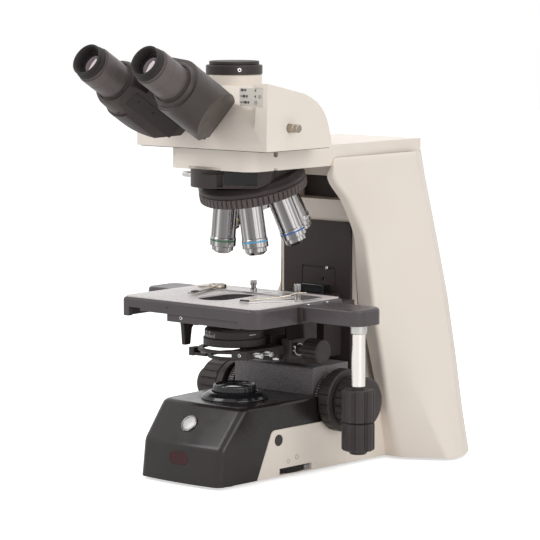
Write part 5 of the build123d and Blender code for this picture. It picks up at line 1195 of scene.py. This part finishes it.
def focus_right():
    ring = [(12.15, 56), (26.6, 56), (28, 57.2), (28, 63.8), (27.4, 64.6), (12.15, 65)]
    piece("tension_collar", hollow(ring, 192, ribbed(64, 0.5, 0.5, 57.1, 63.9)), BLACK_PLASTIC, "tension",
          ("tension_ring",), place=on_axle(1))
    coarse = [(8.05, 66), (30.8, 66), (32.4, 66.6), (33, 67.6), (33, 77.2), (32.6, 78.6), (31.4, 79.6), (27, 80), (8.05, 80)]
    wave = ribbed(20, 0.9, 0.16, 67.4, 77.4)
    piece("coarse_wheel_right", hollow(coarse, 20 * 24, wave), BLACK_PLASTIC, "coarse",
          ("coarse_knob_right",), place=on_axle(1))
    fine = [(5.05, 80.6), (23.5, 80.6), (25.6, 81.2), (26.3, 82.6), (26.5, 84), (26.5, 94.4), (26.5, 96), (26.3, 97),
            (26.5, 98), (26.5, 102), (26.1, 104), (24.6, 105.3), (22.6, 105.6), (0.01, 105.6)]
    wave = ribbed(20, 1.3, 0.3, 82.5, 96.2)
    knob = lathe(fine, 20 * 24, wave)
    piece("fine_knob_outer_right", knob, BLACK_PLASTIC, "fine", ("fine_knob_right",), place=on_axle(1))


def focus_left():
    ring = [(12.1, 56), (26.4, 56), (28, 57.4), (28, 64), (27.2, 65), (12.1, 65)]
    piece("height_scale", hollow(ring, 128), BLACK_SATIN, "stand", ("scale_ring",), place=on_axle(-1))
    ticks = []
    for k in range(72):
        long = 4.6 if k % 5 == 0 else 2.6
        ticks.append(moved(block(27.9, 28.12, -0.22, 0.22, 57.8, 57.8 + long), turn("Z", 5 * k)))
    piece("height_ticks", join(*ticks), WHITE_PRINT, "stand", place=on_axle(-1))
    drum = [(5.15, 72), (24.5, 72), (26.8, 72.8), (27.5, 74.2), (27.5, 79), (26.4, 79.8), (26.4, 81.6), (27.3, 82.4),
            (27.5, 83.4), (27.5, 102.6), (27.1, 104.6), (25.2, 106), (5.15, 106)]
    piece("coarse_drum_left", hollow(drum, 20 * 24, ribbed(20, 1.3, 0.26, 83, 103)), BLACK_PLASTIC, "coarse",
          place=on_axle(-1))
    tube = [(5.1, -80), (8, -80), (8, 74), (5.1, 74)]
    piece("coarse_tube", hollow(tube, 64), STEEL, "coarse", ("coarse_drive",), place=on_axle(-1))
    knob = [(16.2, 106.6), (17, 107.4), (17, 116.6), (16.4, 117.7), (14.8, 118.1), (0.01, 118.1)]
    piece("fine_knob_outer_left", lathe([(4.9, 106.6)] + knob, 24 * 16, ribbed(24, 0.5, 0.3, 107.5, 116.5)),
          BLACK_PLASTIC, "fine", ("fine_drive",), place=on_axle(-1))
    piece("fine_axle", disc(4.95, -100, 107, 48), STEEL, "fine", place=on_axle(-1))


def scale_collar():
    """Tick marks round the tension ring beside the right coarse wheel, riding with that ring."""
    ticks = []
    for k in range(60):
        long = 3.4 if k % 5 == 0 else 1.9
        ticks.append(moved(block(28.02, 28.2, -0.2, 0.2, 58, 58 + long), turn("Z", 6 * k)))
    piece("tension_ticks", join(*ticks), WHITE_PRINT, "tension", place=on_axle(1))


def illumination():
    collar = [(23.7, 79.8), (23.7, 79), (34.4, 79), (35, 79.5), (34.9, 80.3), (33.6, 82.2), (33.4, 82.6), (32.6, 82.9),
              (28.6, 85.4), (27.6, 86), (24.2, 86), (23.7, 85.5)]
    piece("light_collar", hollow(collar[1:], 160), BLACK_GLOSS, "stand", ("field_lens_collar",))
    inner = [(15.5, 75.5), (22.4, 75.5), (22.4, 79.7), (19, 79.8), (19, 90), (17.1, 90), (17.1, 86), (15.5, 86)]
    piece("light_tube", hollow(inner, 96), BLACK_SATIN, "stand")
    piece("light_floor", hollow([(22, 79.0), (31, 79.0), (31, 79.8), (22, 79.8)], 96), BLACK_SATIN, "stand")
    ring = [(19.1, 80.2), (22.2, 80.2), (22.5, 80.5), (22.5, 84.2), (21.9, 84.8), (21.9, 86.2), (22.5, 86.8), (22.5, 91),
            (22.0, 92.6), (21.2, 93.4), (20.4, 93.5), (19.7, 92.9), (19.2, 91.4), (16.2, 90.5), (16.2, 90.3), (19.1, 90.2)]
    piece("diaphragm_grip", hollow(ring, 36 * 8, ribbed(36, 0.35, 0.4, 86.7, 91.1)), BLACK_GLOSS, "diaphragm",
          ("field_diaphragm_ring",))
    bowl = [(16.95, 86), (16.95, 88.4)] + [(16.95 * cos(radians(a)), 88.4 + 2.7 * sin(radians(a))) for a in range(15, 90, 15)]
    piece("light_lens", lathe(bowl + [(0.01, 91.1)], 96), FIELD_LENS, "stand", ("field_lens",))


# Camera and light

def camera():
    data = bpy.data.cameras.new("camera")
    data.sensor_width = 36
    data.lens = 170.5
    data.clip_end = 100
    shot = bpy.data.objects.new("camera", data)
    shot.location = (Vector((1729.2, -1968.3, 515.0)) - ORIGIN) * MM
    shot.rotation_euler = (radians(83.4), 0, radians(40.5))
    bpy.context.scene.collection.objects.link(shot)
    bpy.context.scene.camera = shot


def lamp(name, place, target, size, power):
    data = bpy.data.lights.new(name, "AREA")
    data.shape = "RECTANGLE"
    data.size, data.size_y = size
    data.energy = power
    light = bpy.data.objects.new(name, data)
    light.location = place
    aim = Vector(target) - Vector(place)
    light.rotation_euler = aim.to_track_quat("-Z", "Y").to_euler()
    bpy.context.scene.collection.objects.link(light)


def sky():
    world = bpy.data.worlds.new("studio")
    bpy.context.scene.world = world
    world.use_nodes = True
    tree = world.node_tree
    back = tree.nodes["Background"]
    back.inputs["Color"].default_value = (1, 1, 1, 1)
    back.inputs["Strength"].default_value = 0.45
    white = tree.nodes.new("ShaderNodeBackground")
    white.inputs["Color"].default_value = (1, 1, 1, 1)
    white.inputs["Strength"].default_value = 1.0
    path = tree.nodes.new("ShaderNodeLightPath")
    seen = tree.nodes.new("ShaderNodeMath")
    seen.operation = "MAXIMUM"
    glossy = tree.nodes.new("ShaderNodeMath")
    glossy.operation = "MAXIMUM"
    tree.links.new(path.outputs["Is Camera Ray"], glossy.inputs[0])
    tree.links.new(path.outputs["Is Glossy Ray"], glossy.inputs[1])
    tree.links.new(glossy.outputs[0], seen.inputs[0])
    tree.links.new(path.outputs["Is Transmission Ray"], seen.inputs[1])
    mix = tree.nodes.new("ShaderNodeMixShader")
    tree.links.new(seen.outputs[0], mix.inputs["Fac"])
    tree.links.new(back.outputs[0], mix.inputs[1])
    tree.links.new(white.outputs[0], mix.inputs[2])
    tree.links.new(mix.outputs[0], tree.nodes["World Output"].inputs["Surface"])


def floor():
    mesh = bpy.data.meshes.new("floor")
    size = 6.0
    mesh.from_pydata([(-size, -size, 0), (size, -size, 0), (size, size, 0), (-size, size, 0)], [], [(0, 1, 2, 3)])
    ground = bpy.data.objects.new("floor", mesh)
    bpy.context.scene.collection.objects.link(ground)
    look = bpy.data.materials.new("floor")
    look.use_nodes = True
    tree = look.node_tree
    shader = tree.nodes["Principled BSDF"]
    shader.inputs["Base Color"].default_value = (0.93, 0.93, 0.93, 1)
    shader.inputs["Roughness"].default_value = 0.6
    shader.inputs["Specular IOR Level"].default_value = 0.2
    glow = tree.nodes.new("ShaderNodeEmission")
    glow.inputs["Strength"].default_value = 0.42
    path = tree.nodes.new("ShaderNodeLightPath")
    dim = tree.nodes.new("ShaderNodeMath")
    dim.operation = "MULTIPLY"
    dim.inputs[1].default_value = 0.62
    tree.links.new(path.outputs["Is Camera Ray"], dim.inputs[0])
    tree.links.new(dim.outputs[0], glow.inputs["Strength"])
    add = tree.nodes.new("ShaderNodeAddShader")
    tree.links.new(shader.outputs[0], add.inputs[0])
    tree.links.new(glow.outputs[0], add.inputs[1])
    tree.links.new(add.outputs[0], tree.nodes["Material Output"].inputs["Surface"])
    mesh.materials.append(look)


base()
side_panel(1)
side_panel(-1)
column_body()
panel()
arm_slab()
wheel_and_button()
mount()
slider()
turret()
for power in WORKING:
    objective(power)
stage_top()
knob_column()
holder()
clip()
carrier()
height_knob()
condenser()
swing_lens()
filter_ring()
focus_block()
focus_right()
focus_left()
scale_collar()
illumination()
head()
for hand in (-1, 1):
    tube(hand)
    eyepiece(hand)
camera()
sky()
floor()
lamp("key", (-0.9, -1.6, 1.7), (0, 0, 0.2), (1.1, 1.1), 18)
lamp("fill", (1.9, -0.7, 0.9), (0, 0, 0.2), (1.2, 1.4), 12.5)
lamp("top", (0.1, 0.3, 2.0), (0, 0, 0.2), (1.4, 1.4), 13.5)
bpy.context.scene.view_settings.view_transform = "Standard"
